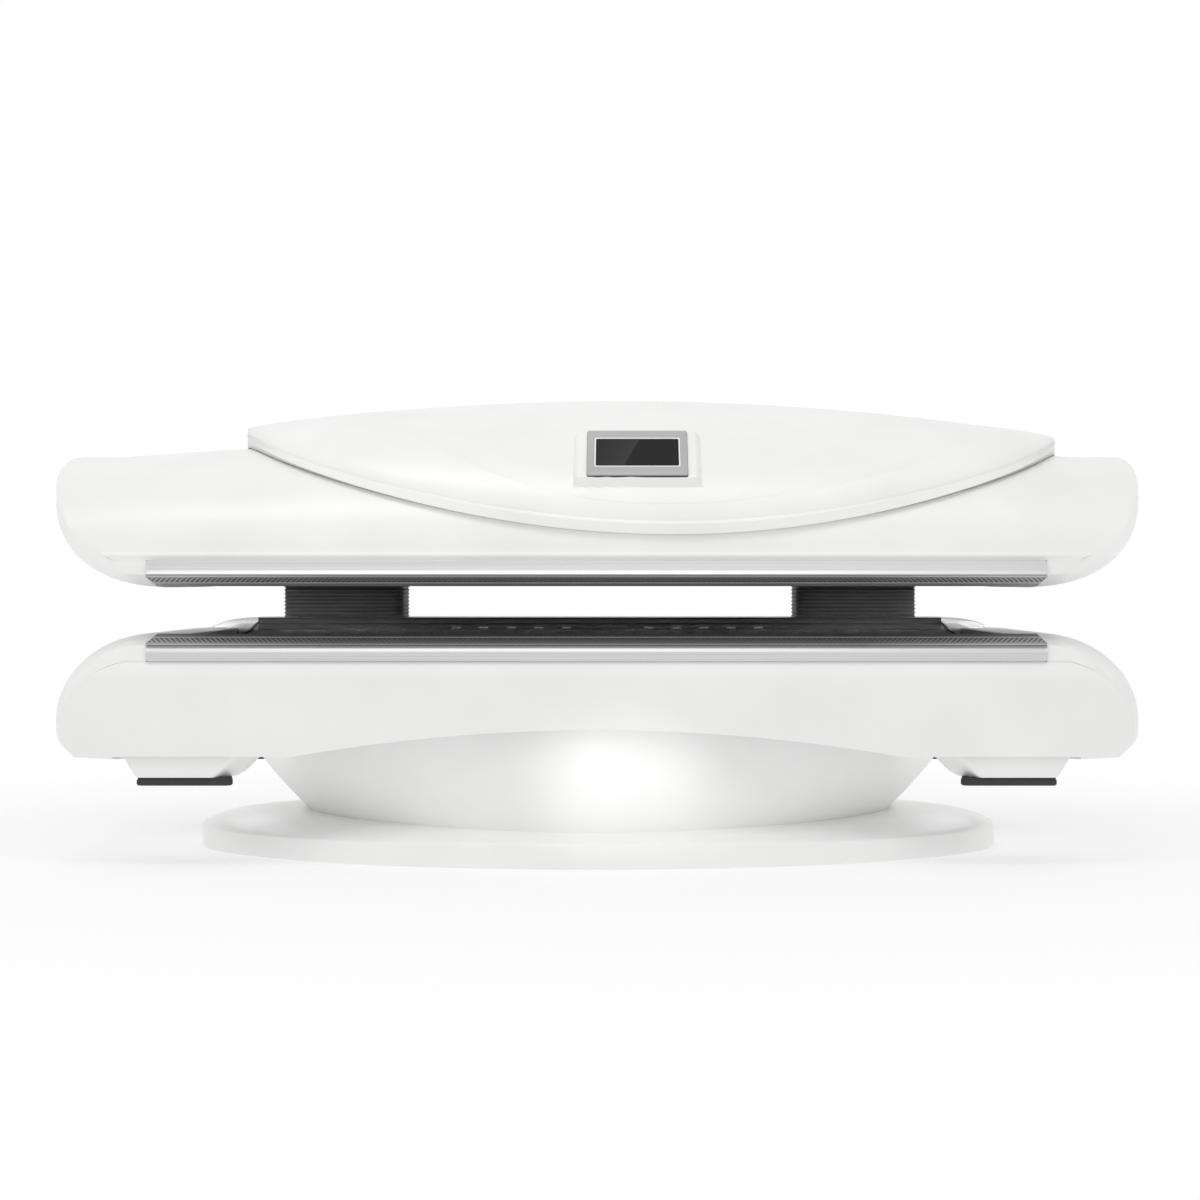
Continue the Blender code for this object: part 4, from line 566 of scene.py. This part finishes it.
# a dome of four rings at each place of a grid on the tray, its pole towards the panel
def lensDomes(rim, depth, sign):
    arc, turn, reach = lampArc(rim, depth, sign, lamps["sheet"] + lamps["gap"], 65)
    rows = int(turn[-1] * reach / lamps["pitchArc"])  # on each side of the middle
    cols = int((lamps["half"] - lamps["margin"]) / lamps["pitchX"])
    turns = np.arange(-rows, rows + 1) * lamps["pitchArc"] / reach
    xs = np.arange(-cols, cols + 1) * lamps["pitchX"]
    x, a = [v.ravel() for v in np.meshgrid(xs, turns)]
    y0, z0 = (lamps["front"] + lamps["rear"]) / 2, arc[32, 1] - sign * reach
    place = np.column_stack([x, y0 + reach * np.sin(a), z0 + sign * reach * np.cos(a)])
    up = np.column_stack([0 * a, -np.sin(a), -sign * np.cos(a)])
    side = np.cross(up, [1.0, 0, 0])
    tilt, spin = np.radians([0, 35, 65, 90]), np.linspace(0, 2 * np.pi, 8, endpoint=False)
    flat, rise = lamps["lens"] * np.cos(tilt)[:, None], 0.6 * lamps["lens"] * np.sin(tilt)[:, None] + 0 * spin
    dome = np.stack([flat * np.cos(spin), flat * np.sin(spin), rise], -1)
    points, quads = sheet(dome, wrap=True)
    axes = np.stack([np.broadcast_to([1.0, 0, 0], up.shape), side, up], 1)
    every = place[:, None] + np.einsum("pk,nkc->npc", points, axes)
    faces = quads[None] + len(points) * np.arange(len(x))[:, None, None]
    return every.reshape(-1, 3), faces.reshape(-1, 4)


xs = [-lamps["half"], lamps["half"]]
for prefix, body, rim, depth, sign in (("lower", "base", 0.395, 0.095, -1), ("canopy", "canopy", 0.4885, 0.170, 1)):
    back = lamps["sheet"] + lamps["gap"]
    panel = lampBand(rim, depth, sign, 0, lamps["sheet"])
    board = lampBand(rim, depth, sign, back, back + lamps["tray"])
    piece(prefix + "_clear_panel", [alongX(panel, xs)], "clear_acrylic", body, [prefix + "_acrylic"])
    piece(prefix + "_lamp_board", [alongX(board, xs)], "lamp_tray", body, [prefix + "_lamp_tray"])
    piece(prefix + "_lamp_lenses", [lensDomes(rim, depth, sign)], lensEpoxy, body, slot="bezel_grey")
print("lamp panels made")

housing = {"half": 0.767, "y": (0.240, 0.430), "low": 0.355, "shoulder": 0.397, "top": 0.420, "dome": 0.090, "round": 0.008,
           "corner": 0.010}
# rounded plans stacked up; above the shoulder the ends come in along a quarter ellipse,
# and near the top the long edges along a small radius
rise = np.linspace(0, 1, 17)
z = np.concatenate([[housing["low"]], housing["shoulder"] + (housing["top"] - housing["shoulder"]) * rise])
halfX = np.concatenate([[housing["half"]], housing["half"] - housing["dome"] * (1 - np.sqrt(1 - rise**2))])
nearTop = np.clip((z - housing["top"] + housing["round"]) / housing["round"], 0, 1)
halfY = np.diff(housing["y"])[0] / 2 - housing["round"] * (1 - np.sqrt(1 - nearTop**2))
plan = roundRect(halfX, halfY, housing["corner"]) + [0, sum(housing["y"]) / 2]
piece("rear_cover", [capped(atHeights(plan, z))], "white_abs", "base", ["rear_housing"], sharp=40)

bellows = {"x": 0.507, "y": 0.325, "size": (0.240, 0.160), "z": (0.4203, 0.4827), "pleats": 8, "pleat": 0.0020,
           "collar": 0.0015, "power": 9.0, "wall": 0.0012}
# the pleats lie closed: narrow outer folds, with a shallow band between two of them
t = np.linspace(0, 1, bellows["pleats"] * 12 + 1)
swing = bellows["pleat"] * (1 - np.abs(np.cos(np.pi * bellows["pleats"] * t)) ** 3)
inset = np.concatenate([[0.002], swing, [0.002]])
low, high = bellows["z"]
pleated = high - low - 2 * bellows["collar"]
z = np.concatenate([[low], low + bellows["collar"] + t * pleated, [high]])
rings = superRings(bellows["size"][0] / 2 - inset, bellows["size"][1] / 2 - inset, z, bellows["power"], 96)
for side, sign in sides:
    x, y = sign * bellows["x"], bellows["y"]
    sleeve = piece("pleated_sleeve_" + side, [sheet(rings + [x, y, 0], wrap=True)], pleatedRubber, None,
                   wall=bellows["wall"], inside=np.array([x, y, 0.45]))
    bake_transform(sleeve)
    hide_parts("bellows_" + side)
    spots = np.empty(len(sleeve.data.vertices) * 3)
    sleeve.data.vertices.foreach_get("co", spots)
    share = (spots[2::3] - low - bellows["collar"]) / pleated
    foldShare = sleeve.data.attributes.new("fold", "FLOAT", "POINT")
    foldShare.data.foreach_set("value", np.abs(np.cos(np.pi * bellows["pleats"] * share)) ** 8)

rail = {"half": 0.6735, "vents": (-0.283, -0.229, -0.174, -0.120, -0.066, 0.096, 0.151, 0.205, 0.259, 0.313),
        "ventZ": 0.400, "vent": (0.009, 0.0013)}
# a dark rail with a lit top edge, a groove under it and a plain face, and a row of short pale vents on the face
profile = roundPolygon([(0.2397, 0.3960), (0.2397, 0.4200), (0.2366, 0.4200), (0.2358, 0.4182), (0.2378, 0.4160),
                        (0.2378, 0.4090), (0.2358, 0.4065), (0.2358, 0.3960)], 0.0006)
piece("dark_rail", [alongX(profile, [-rail["half"], rail["half"]])], darkRail, "base", ["lower_rear_rail"], "dark_lip")
plan = roundRect(rail["vent"][0] + np.array([0, 0, -0.0006]), rail["vent"][1] + np.array([0, 0, -0.0006]), 0.0007)
ringY = np.array([0.2362, 0.2356, 0.2353])[:, None] + 0 * plan[..., 0]
rings = np.stack([plan[..., 0], ringY, plan[..., 1] + rail["ventZ"]], -1)
piece("rail_vents", [capped(rings + [x, 0, 0]) for x in rail["vents"]], "white_abs", "base", slot="dark_lip")

cheek = {"outline": [(0.746, 0.386), (0.7404, 0.3904), (0.725, 0.4024), (0.7053, 0.4087), (0.6813, 0.4087),
                     (0.687, 0.3981), (0.6997, 0.3896), (0.707, 0.386)], "y": (0.2318, 0.2352),
         "seal": [(0.6690, 0.4130), (0.6714, 0.4115), (0.6785, 0.4052), (0.687, 0.3953), (0.6939, 0.3896), (0.702, 0.385)],
         "sealY": 0.2330, "sealRadius": 0.0021}
# leaf-shaped plates beside the rail, each with a round black seal along its inner edge
leaf = roundPolygon(cheek["outline"], 0.003)
for side, sign in sides:
    insets = np.array([0.0, 0.0, 0.0006, 0.0030])[:, None, None]
    plan = leaf + insets * unit(leaf.mean(0) - leaf)
    ringY = np.array([cheek["y"][1], cheek["y"][0] + 0.0006, cheek["y"][0], cheek["y"][0]])[:, None] + 0 * plan[..., 0]
    rings = np.stack([sign * plan[..., 0], ringY, plan[..., 1]], -1)
    piece("trough_cheek_" + side, [capped(rings)], greyPlate, "base", slot="grey_abs")
    spots = np.array(cheek["seal"])
    s = np.linspace(0, len(spots) - 1, 26)
    path = np.column_stack([np.interp(s, np.arange(len(spots)), spots[:, k]) for k in (0, 1)])
    across = unit(np.gradient(path, axis=0))[:, ::-1] * [-1, 1]
    spin = np.linspace(0, 2 * np.pi, 12, endpoint=False)
    ring = path[:, None] + cheek["sealRadius"] * np.cos(spin)[None, :, None] * across[:, None]
    sealY = cheek["sealY"] + cheek["sealRadius"] * np.sin(spin) + 0 * ring[..., 0]
    tube = np.stack([sign * ring[..., 0], sealY, ring[..., 1]], -1)
    piece("cheek_seal_" + side, [capped(tube)], "black_rubber", "base")
print("rear housing, bellows and rail made")


# canopy

canopy = {"halfDepth": 0.418, "halfLength": 0.961, "base": 0.541, "edge": 0.5268, "endRise": 0.181, "crown": 0.034,
          "crownReach": 0.875, "power": 2.2, "seamX": 0.747, "seamReach": 0.205, "seamZ": 0.730, "seamDrop": 0.220,
          "endReach": 0.210, "endZ": 0.645, "endBottom": 0.4805, "tuck": 0.003, "endPower": 2.35, "endTurn": -80,
          "trimTop": 0.527, "trimLow": 0.5016, "lipLow": 0.4827, "lipDepth": 0.096, "gap": 0.0012, "bead": 0.0022,
          "wall": 0.004, "round": 0.0012}


def canopyRise(x):  # rise of the arch, highest in the middle and even near the ends
    return canopy["endRise"] + canopy["crown"] * (1 - np.minimum(np.abs(x) / canopy["crownReach"], 1) ** 2)


def canopyDepth(z, rise):  # half depth of the arch at a height, |d|^n + |h|^n = 1
    share = np.clip((z - canopy["base"]) / rise, 0, 1)
    return canopy["halfDepth"] * (1 - share ** canopy["power"]) ** (1 / canopy["power"])


def canopySeamX(z):  # half length of the long skin, a quarter ellipse
    drop = np.clip((canopy["seamZ"] - z) / canopy["seamDrop"], 0, 1)
    return canopy["seamX"] + canopy["seamReach"] * np.sqrt(1 - drop**2)


# rows from the front edge with its bead, over the crest, to the rear edge, bowed up in the middle
def canopySheet():
    turn = np.radians(np.linspace(0, 90, 44))
    share = np.sin(turn) ** (2 / canopy["power"])
    depth = canopy["halfDepth"] * np.maximum(np.cos(turn), 0) ** (2 / canopy["power"])
    depth[-1] = 0
    low = np.linspace(0, 1, 10)[:-1]
    edgeZ = canopy["edge"] + (canopy["base"] - canopy["edge"]) * low
    bead = canopy["bead"] * np.sin(np.pi * np.clip((low - 0.25) / 0.75, 0, 1))
    endZ = np.concatenate([edgeZ, canopy["base"] + canopy["endRise"] * share])
    depth = np.concatenate([canopy["halfDepth"] + bead, depth])
    share = np.concatenate([0 * low, share])
    over = np.concatenate([np.arange(len(share)), np.arange(len(share) - 1)[::-1]])
    sign = np.where(np.arange(len(over)) < len(share), -1.0, 1.0)
    x = np.linspace(-1, 1, 121) * (canopySeamX(endZ)[over, None] - canopy["gap"])
    z = endZ[over, None] + (canopyRise(x) - canopy["endRise"]) * share[over, None]
    return np.stack([x, (sign * depth[over])[:, None] + 0 * x, z], -1)


# outline from the lip's end round the lower bulge, a superellipse, and up to the crest
def canopyEnd(sign):
    crest = canopy["base"] + canopy["endRise"]
    low, high = [math.acos((canopy["seamZ"] - z) / canopy["seamDrop"]) for z in (canopy["trimTop"], crest)]
    heights = canopy["seamZ"] - canopy["seamDrop"] * np.cos(np.linspace(low, high, 48))
    start = tub["trimEnd"] + canopy["gap"]
    seam = np.concatenate([[(start, canopy["trimTop"])], np.column_stack([canopySeamX(heights), heights])])
    turn = np.radians(np.linspace(canopy["endTurn"], 90, 48))
    below, middle, root = turn < 0, canopy["halfLength"] - canopy["endReach"], 2 / canopy["endPower"]
    bulge = middle + canopy["endReach"] * np.abs(np.cos(turn)) ** root
    x = np.where(below, bulge, canopy["halfLength"] - canopy["tuck"] * np.sin(turn) ** 2)
    fall = (canopy["endZ"] - canopy["endBottom"]) * np.abs(np.sin(turn)) ** root
    z = canopy["endZ"] + np.where(below, -fall, (crest - canopy["endZ"]) * np.sin(turn))
    outline = np.concatenate([[(start, canopy["endBottom"])], np.column_stack([x, z])])
    drop = canopy["trimTop"] - canopy["endBottom"]
    knee, lipShare = [(canopy["trimTop"] - canopy[key]) / drop for key in ("trimLow", "lipLow")]
    return endSheet(sign, seam, outline, canopyDepth(seam[:, 1], canopy["endRise"]), knee, lipShare, canopy["lipDepth"])


piece("canopy_skin", [sheet(canopySheet())], "white_abs", "canopy", ["canopy_shell"],
      wall=canopy["wall"], edge=canopy["round"], inside=np.array([0, 0, 0.541]))
for side, sign in sides:
    piece("canopy_end_cap_" + side, [sheet(canopyEnd(sign))], "white_abs", "canopy", ["canopy_end_" + side],
          wall=canopy["wall"], edge=canopy["round"], inside=np.array([sign * 0.75, 0, 0.6]))
print("canopy made")


# hood and display

hood = {"tips": (-0.658, 0.854), "tipDrop": 0.0005, "tipPower": 24.0, "ridgeX": 0.040, "ridgeTop": 0.828, "ridgeDrop": 0.0580,
        "frontX": 0.135, "frontLow": 0.570, "rearLift": 0.070, "facePower": 1.65, "ledge": 0.0045, "wall": 0.003,
        "band": (0.014, 0.014), "bandWidth": 0.020, "bandRound": 0.0035, "bandFoot": (0.008, 0.007), "seat": 0.0017,
        "setBack": 0.016, "panelX": 0.110, "panelLow": 0.625, "panelRises": (0.37, 0.21),
        "panelDepth": (0.0075, 0.0120), "panelStep": (0.018, 0.009)}
hoodMiddle, hoodHalf = sum(hood["tips"]) / 2, (hood["tips"][1] - hood["tips"][0]) / 2


def hoodSection(x, lift, rows, panel):
    # half sections at every x: the edge on the canopy, a band along it, a small ledge,
    # then a quarter superellipse to the ridge, with a shallow panel sunk into it
    rise, along = canopyRise(x), np.minimum(np.abs(x - hoodMiddle) / hoodHalf, 1)
    tip = np.where(x < hood["frontX"], *hood["tips"])
    tipRise = canopy["base"] + canopyRise(tip) - hood["tipDrop"] - hood["frontLow"]
    bow = tipRise * ((x - hood["frontX"]) / (tip - hood["frontX"])) ** 2  # up to the canopy's crest at the tips
    depth = canopyDepth(hood["frontLow"] + bow + lift * (1 - along**2), rise) * np.sqrt(1 - along ** hood["tipPower"])
    share, p = depth / canopy["halfDepth"], canopy["power"]
    z = canopy["base"] + rise * (1 - share**p) ** (1 / p)
    slope = [share ** (p - 1) / canopy["halfDepth"], ((z - canopy["base"]) / rise) ** (p - 1) / rise]
    outward = unit(np.stack(slope, -1))
    upward = np.stack([-outward[:, 1], outward[:, 0]], -1)
    base = np.stack([depth, z], -1)
    width, tipward = hood["bandWidth"] * share[:, None], 1 - share[:, None]
    off, footOff = [hood[key][0] + hood[key][1] * tipward for key in ("band", "bandFoot")]  # further off towards the tips
    top = base + off * outward + width * upward
    start = top - hood["ledge"] * share[:, None] * (outward - 0.6 * upward)
    ridge = hood["ridgeTop"] - hood["ridgeDrop"] * ((x - hood["ridgeX"]) / hoodHalf) ** 2
    lows = hood["panelLow"] + np.where(x < hood["panelX"], *hood["panelRises"]) * ((x - hood["panelX"]) / hoodHalf) ** 2
    at = np.arcsin(np.clip((lows - start[:, 1]) / (ridge - start[:, 1]), 0.05, 0.97) ** (hood["facePower"] / 2))
    stops = np.array([0, 0.16, 0.20, 0.24, 0.28, 1])  # the rows crowd together where the panel steps down
    mid = np.stack([0 * at, at - 0.030, at - 0.008, at + 0.008, at + 0.030, 0 * at + np.pi / 2], -1)
    s = np.linspace(0, 1, rows)
    k = np.clip(np.searchsorted(stops, s, side="right") - 1, 0, 4)
    turn = mid[:, k] + (mid[:, k + 1] - mid[:, k]) * ((s - stops[k]) / (stops[k + 1] - stops[k]))
    arch = np.sin(turn) ** (2 / hood["facePower"])
    curve = np.stack([start[:, :1] * np.cos(turn), start[:, 1:] + (ridge - start[:, 1])[:, None] * arch], -1)
    if panel:
        fade = step((ridge - lows) / 0.05)[:, None] * step((np.pi / 2 - turn) / 0.6)
        far = step(np.abs(x - hood["panelX"]) / hoodHalf / 0.5)[:, None]  # deeper and sharper towards the tips
        deep, half = [hood[key][0] + (hood[key][1] - hood[key][0]) * far for key in ("panelDepth", "panelStep")]
        down = deep * step((turn - at[:, None] + half) / (2 * half)) * fade
        face = [np.cos(turn) / np.maximum(start[:, :1], 1e-3), np.sin(turn) / (ridge - start[:, 1])[:, None]]
        curve = curve - down[..., None] * unit(np.stack(face, -1))
    curve[:, -1, 0] = 0
    # the foot under the band is set back, so that the band throws a shadow
    back = hood["setBack"] * np.sqrt(tipward) * step(share / 0.8)[:, None] * upward
    rim = np.stack([base + hood["seat"] * outward + back, base + (footOff - 0.001) * outward + 0.9 * back,
                    base + footOff * outward, base + (footOff + 0.001) * outward + 0.002 * upward], 1)
    a = np.radians(np.linspace(0, 90, 8))[None, :, None]  # quarter circle at the band's upper edge, for the light to catch
    r = hood["bandRound"] * share[:, None, None]
    bead = top[:, None] - r * (1 - np.cos(a)) * outward[:, None] - r * (1 - np.sin(a)) * upward[:, None]
    return np.concatenate([rim, bead, curve], 1)


display = {"x": 0.070, "rise": 0.1415, "bezel": (0.174, 0.1245), "screen": (0.150, 0.080), "seen": (0.1435, 0.0760),
           "proud": 0.005, "sunk": 0.001, "pad": (0.112, 0.071), "padFade": 0.010, "padLevel": 0.0012}
middle = hoodSection(np.array([display["x"]]), 0.0, 200, False)[0, -200:]
at = int(np.argmin(np.abs(middle[:, 1] - hood["frontLow"] - display["rise"])))
tilt = math.atan2(middle[at + 1, 1] - middle[at - 1, 1], middle[at - 1, 0] - middle[at + 1, 0])
place = np.array([display["x"], -middle[at, 0], middle[at, 1]])
upright, lean = math.cos(tilt), math.sin(tilt)
axes = np.array([[1, 0, 0], [0, upright, lean], [0, -lean, upright]])  # along, up the face, out of it


def displayRings(sizes, radius):  # rounded rectangles (half width, half height, level) on the display's own axes
    halfX, halfY, level = np.array(sizes).T
    return place + atHeights(roundRect(halfX, halfY, radius), level) @ axes


u = np.concatenate([np.sin(np.linspace(-np.pi / 2, 0, 90)), np.sin(np.linspace(0, np.pi / 2, 90))[1:]])
u = np.unique(np.concatenate([u, (np.linspace(-0.14, 0.28, 90) - hoodMiddle) / hoodHalf]))
x = hoodMiddle + hoodHalf * u
front, rear = hoodSection(x, 0.0, 120, True), hoodSection(x, hood["rearLift"], 50, False)
section = np.concatenate([front * [-1, 1], rear[:, -2::-1]], 1)
grid = np.roll(atHeights(section, x), 1, -1)  # x comes first
# round the display the face is drawn to a flat pad, with a soft border
own = (grid - place) @ axes.T
apart = np.maximum(np.abs(own[..., 0]) - display["pad"][0], np.abs(own[..., 1]) - display["pad"][1])
flat = step(-apart / display["padFade"]) * (np.abs(own[..., 2]) < 0.05)
grid = grid + ((display["padLevel"] - own[..., 2]) * flat)[..., None] * axes[2]
piece("hood_shell", [sheet(grid)], "white_abs", "canopy", ["canopy_hood"],
      wall=hood["wall"], inside=np.array([0.1, 0, 0.60]), sharp=20)

# bezel as rings up the outside, over a rounded edge, in over the rim of the screen and back underneath
bx, by = [v / 2 for v in display["bezel"]]
vx, vy = [v / 2 for v in display["seen"]]
sx, sy = [v / 2 + 0.0003 for v in display["screen"]]
sizes = [(bx, by, -0.004), (bx, by, 0.0030), (bx - 0.0008, by - 0.0008, 0.0044), (bx - 0.0022, by - 0.0022, 0.0050),
         (vx + 0.0032, vy + 0.0032, 0.0050), (vx + 0.0028, vy + 0.0028, 0.0044), (vx, vy, 0.0044),
         (vx, vy, 0.0041), (sx, sy, 0.0041), (sx, sy, -0.002)]
rings = displayRings(sizes, [0.003] * 4 + [0.002] * 6)
piece("display_frame", [ringTube(rings)], "bezel_grey", "canopy", ["display_bezel"])
# black ring between the frame and the hood, a dark piece standing in for the shade under the frame, seen as a dark line
# from below
sizes = [(bx - 0.002, by - 0.002, -0.003), (bx + 0.0004, by + 0.0004, -0.003), (bx + 0.0004, by + 0.0004, 0.0022),
         (bx - 0.002, by - 0.002, 0.0022)]
piece("display_shade_ring", [ringTube(displayRings(sizes, 0.003))], "black_rubber", "canopy")
# pale border round the glass, in the frame's step
sizes = [(vx + 0.0027, vy + 0.0027, 0.0044), (vx + 0.0024, vy + 0.0024, 0.0052), (vx + 0.0005, vy + 0.0005, 0.0052),
         (vx, vy, 0.0044)]
piece("screen_border", [ringTube(displayRings(sizes, 0.003))], "white_abs", "canopy")
# glass with a bevelled edge, a little below the frame
level = display["proud"] - display["sunk"]
sizes = [(sx - 0.0004, sy - 0.0004, level - 0.006), (sx - 0.0004, sy - 0.0004, level - 0.0006),
         (sx - 0.0010, sy - 0.0010, level), (sx - 0.006, sy - 0.006, level)]
rings = displayRings(sizes, 0.0025)
piece("touch_panel", [capped(rings)], "screen_glass", "canopy", ["display_screen"])
print("hood and display made")


# stage, light and camera

stage = {"floor": "ffffff", "near": 0.4, "far": 2.4, "paperGlow": 0.50, "tableGlow": 1.0, "sky": 0.70,
         "key": 33, "under": 0.23, "gap": 0.06, "gapEnd": 0.12, "strip": 0.024}


def plainlySeen(tree):  # 1 where the camera looks, straight, in gloss or through glass, and 0 for other light
    path = addNode(tree, "LightPath").outputs
    seen = mathNode(tree, "MAXIMUM", path["Is Camera Ray"], path["Is Glossy Ray"])
    return mathNode(tree, "MAXIMUM", seen, path["Is Transmission Ray"])


mesh = bpy.data.meshes.new("studio_floor")
mesh.from_pydata([(-30, -30, 0), (30, -30, 0), (30, 30, 0), (-30, 30, 0)], [], [(0, 1, 2, 3)])
floor = bpy.data.objects.new("studio_floor", mesh)
scene.collection.objects.link(floor)
# white paper that keeps the shadow near the bed and turns to plain white further off; to other light than what
# the camera sees it is a table lit from below
paper, tree, shader, coords = startMaterial("studio_paper", Base_Color=srgb(stage["floor"]), Roughness=0.9)
distance = addNode(tree, "VectorMath", {0: coords}, operation="LENGTH").outputs["Value"]
away = mapRange(tree, distance, stage["near"], stage["far"], stage["paperGlow"], interpolation_type="SMOOTHSTEP")
share = addNode(tree, "Mix", {"Factor": plainlySeen(tree), "A": stage["tableGlow"], "B": away})
glow = addNode(tree, "Emission", {"Color": srgb("ffffff"), "Strength": 1.0})
mix = addNode(tree, "MixShader", {0: share.outputs["Result"], 1: shader.outputs["BSDF"], 2: glow.outputs["Emission"]})
tree.links.new(mix.outputs["Shader"], tree.nodes["Material Output"].inputs["Surface"])
mesh.materials.append(paper)
paper.cycles.emission_sampling = "NONE"  # the large glow needs no lamp samples

world = bpy.data.worlds.new("studio_sky")
scene.world = world
world.use_nodes = True
tree = world.node_tree
tree.links.new(mapRange(tree, plainlySeen(tree), 0.0, 1.0, stage["sky"]), tree.nodes["Background"].inputs["Strength"])
tree.nodes["Background"].inputs["Color"].default_value = srgb("ffffff")

# a large softbox above; small lamps under the tub for the foot, and narrow ones into the gap and at the pedestal
for name, spot, aim, size, power, spread in (
        ("top_softbox", (-0.35, -1.75, 3.5), (-0.1, 0, 0.5), (2.4, 1.6), stage["key"], 180),
        ("left_under_strip", (-0.66, 0, 0.186), (-0.66, 0, 0), (0.22, 0.44), stage["under"], 180),
        ("right_under_strip", (0.66, 0, 0.186), (0.66, 0, 0), (0.22, 0.44), stage["under"], 180),
        ("left_gap_strip", (-3.6, -1.6, 0.56), (-0.76, 0.25, 0.415), (0.4, 0.06), stage["gapEnd"], 3),
        ("right_gap_strip", (3.6, -1.6, 0.56), (0.76, 0.25, 0.415), (0.4, 0.06), stage["gapEnd"], 3),
        ("gap_strip", (0, -4.9, 0.445), (0, 0, 0.445), (1.5, 0.05), stage["gap"], 2),
        ("grid_strip", (0.05, -4.9, 0.15), (0.05, 0, 0.15), (0.26, 0.16), stage["strip"], 2.5)):
    lamp = bpy.data.lights.new(name, "AREA")
    lamp.shape, lamp.size, lamp.size_y = "RECTANGLE", *size
    lamp.energy, lamp.spread = power, math.radians(spread)
    lampObject = bpy.data.objects.new(name, lamp)
    scene.collection.objects.link(lampObject)
    way = unit(np.array(aim) - np.array(spot))
    lampObject.location = spot
    lampObject.rotation_euler = (math.acos(-way[2]), 0, math.atan2(way[0], -way[1]) + math.pi)

view = {"place": (0.04, -4.6, 0.49), "lens": 73.56, "shift": (-0.01667, -0.015)}
camera = bpy.data.cameras.new("front_camera")
camera.lens, camera.sensor_width = view["lens"], 36
camera.shift_x, camera.shift_y = view["shift"]
cameraObject = bpy.data.objects.new("front_camera", camera)
cameraObject.location, cameraObject.rotation_euler = view["place"], (math.pi / 2, 0, 0)
scene.collection.objects.link(cameraObject)
scene.camera = cameraObject
scene.view_settings.view_transform = "Standard"

print("scene done")
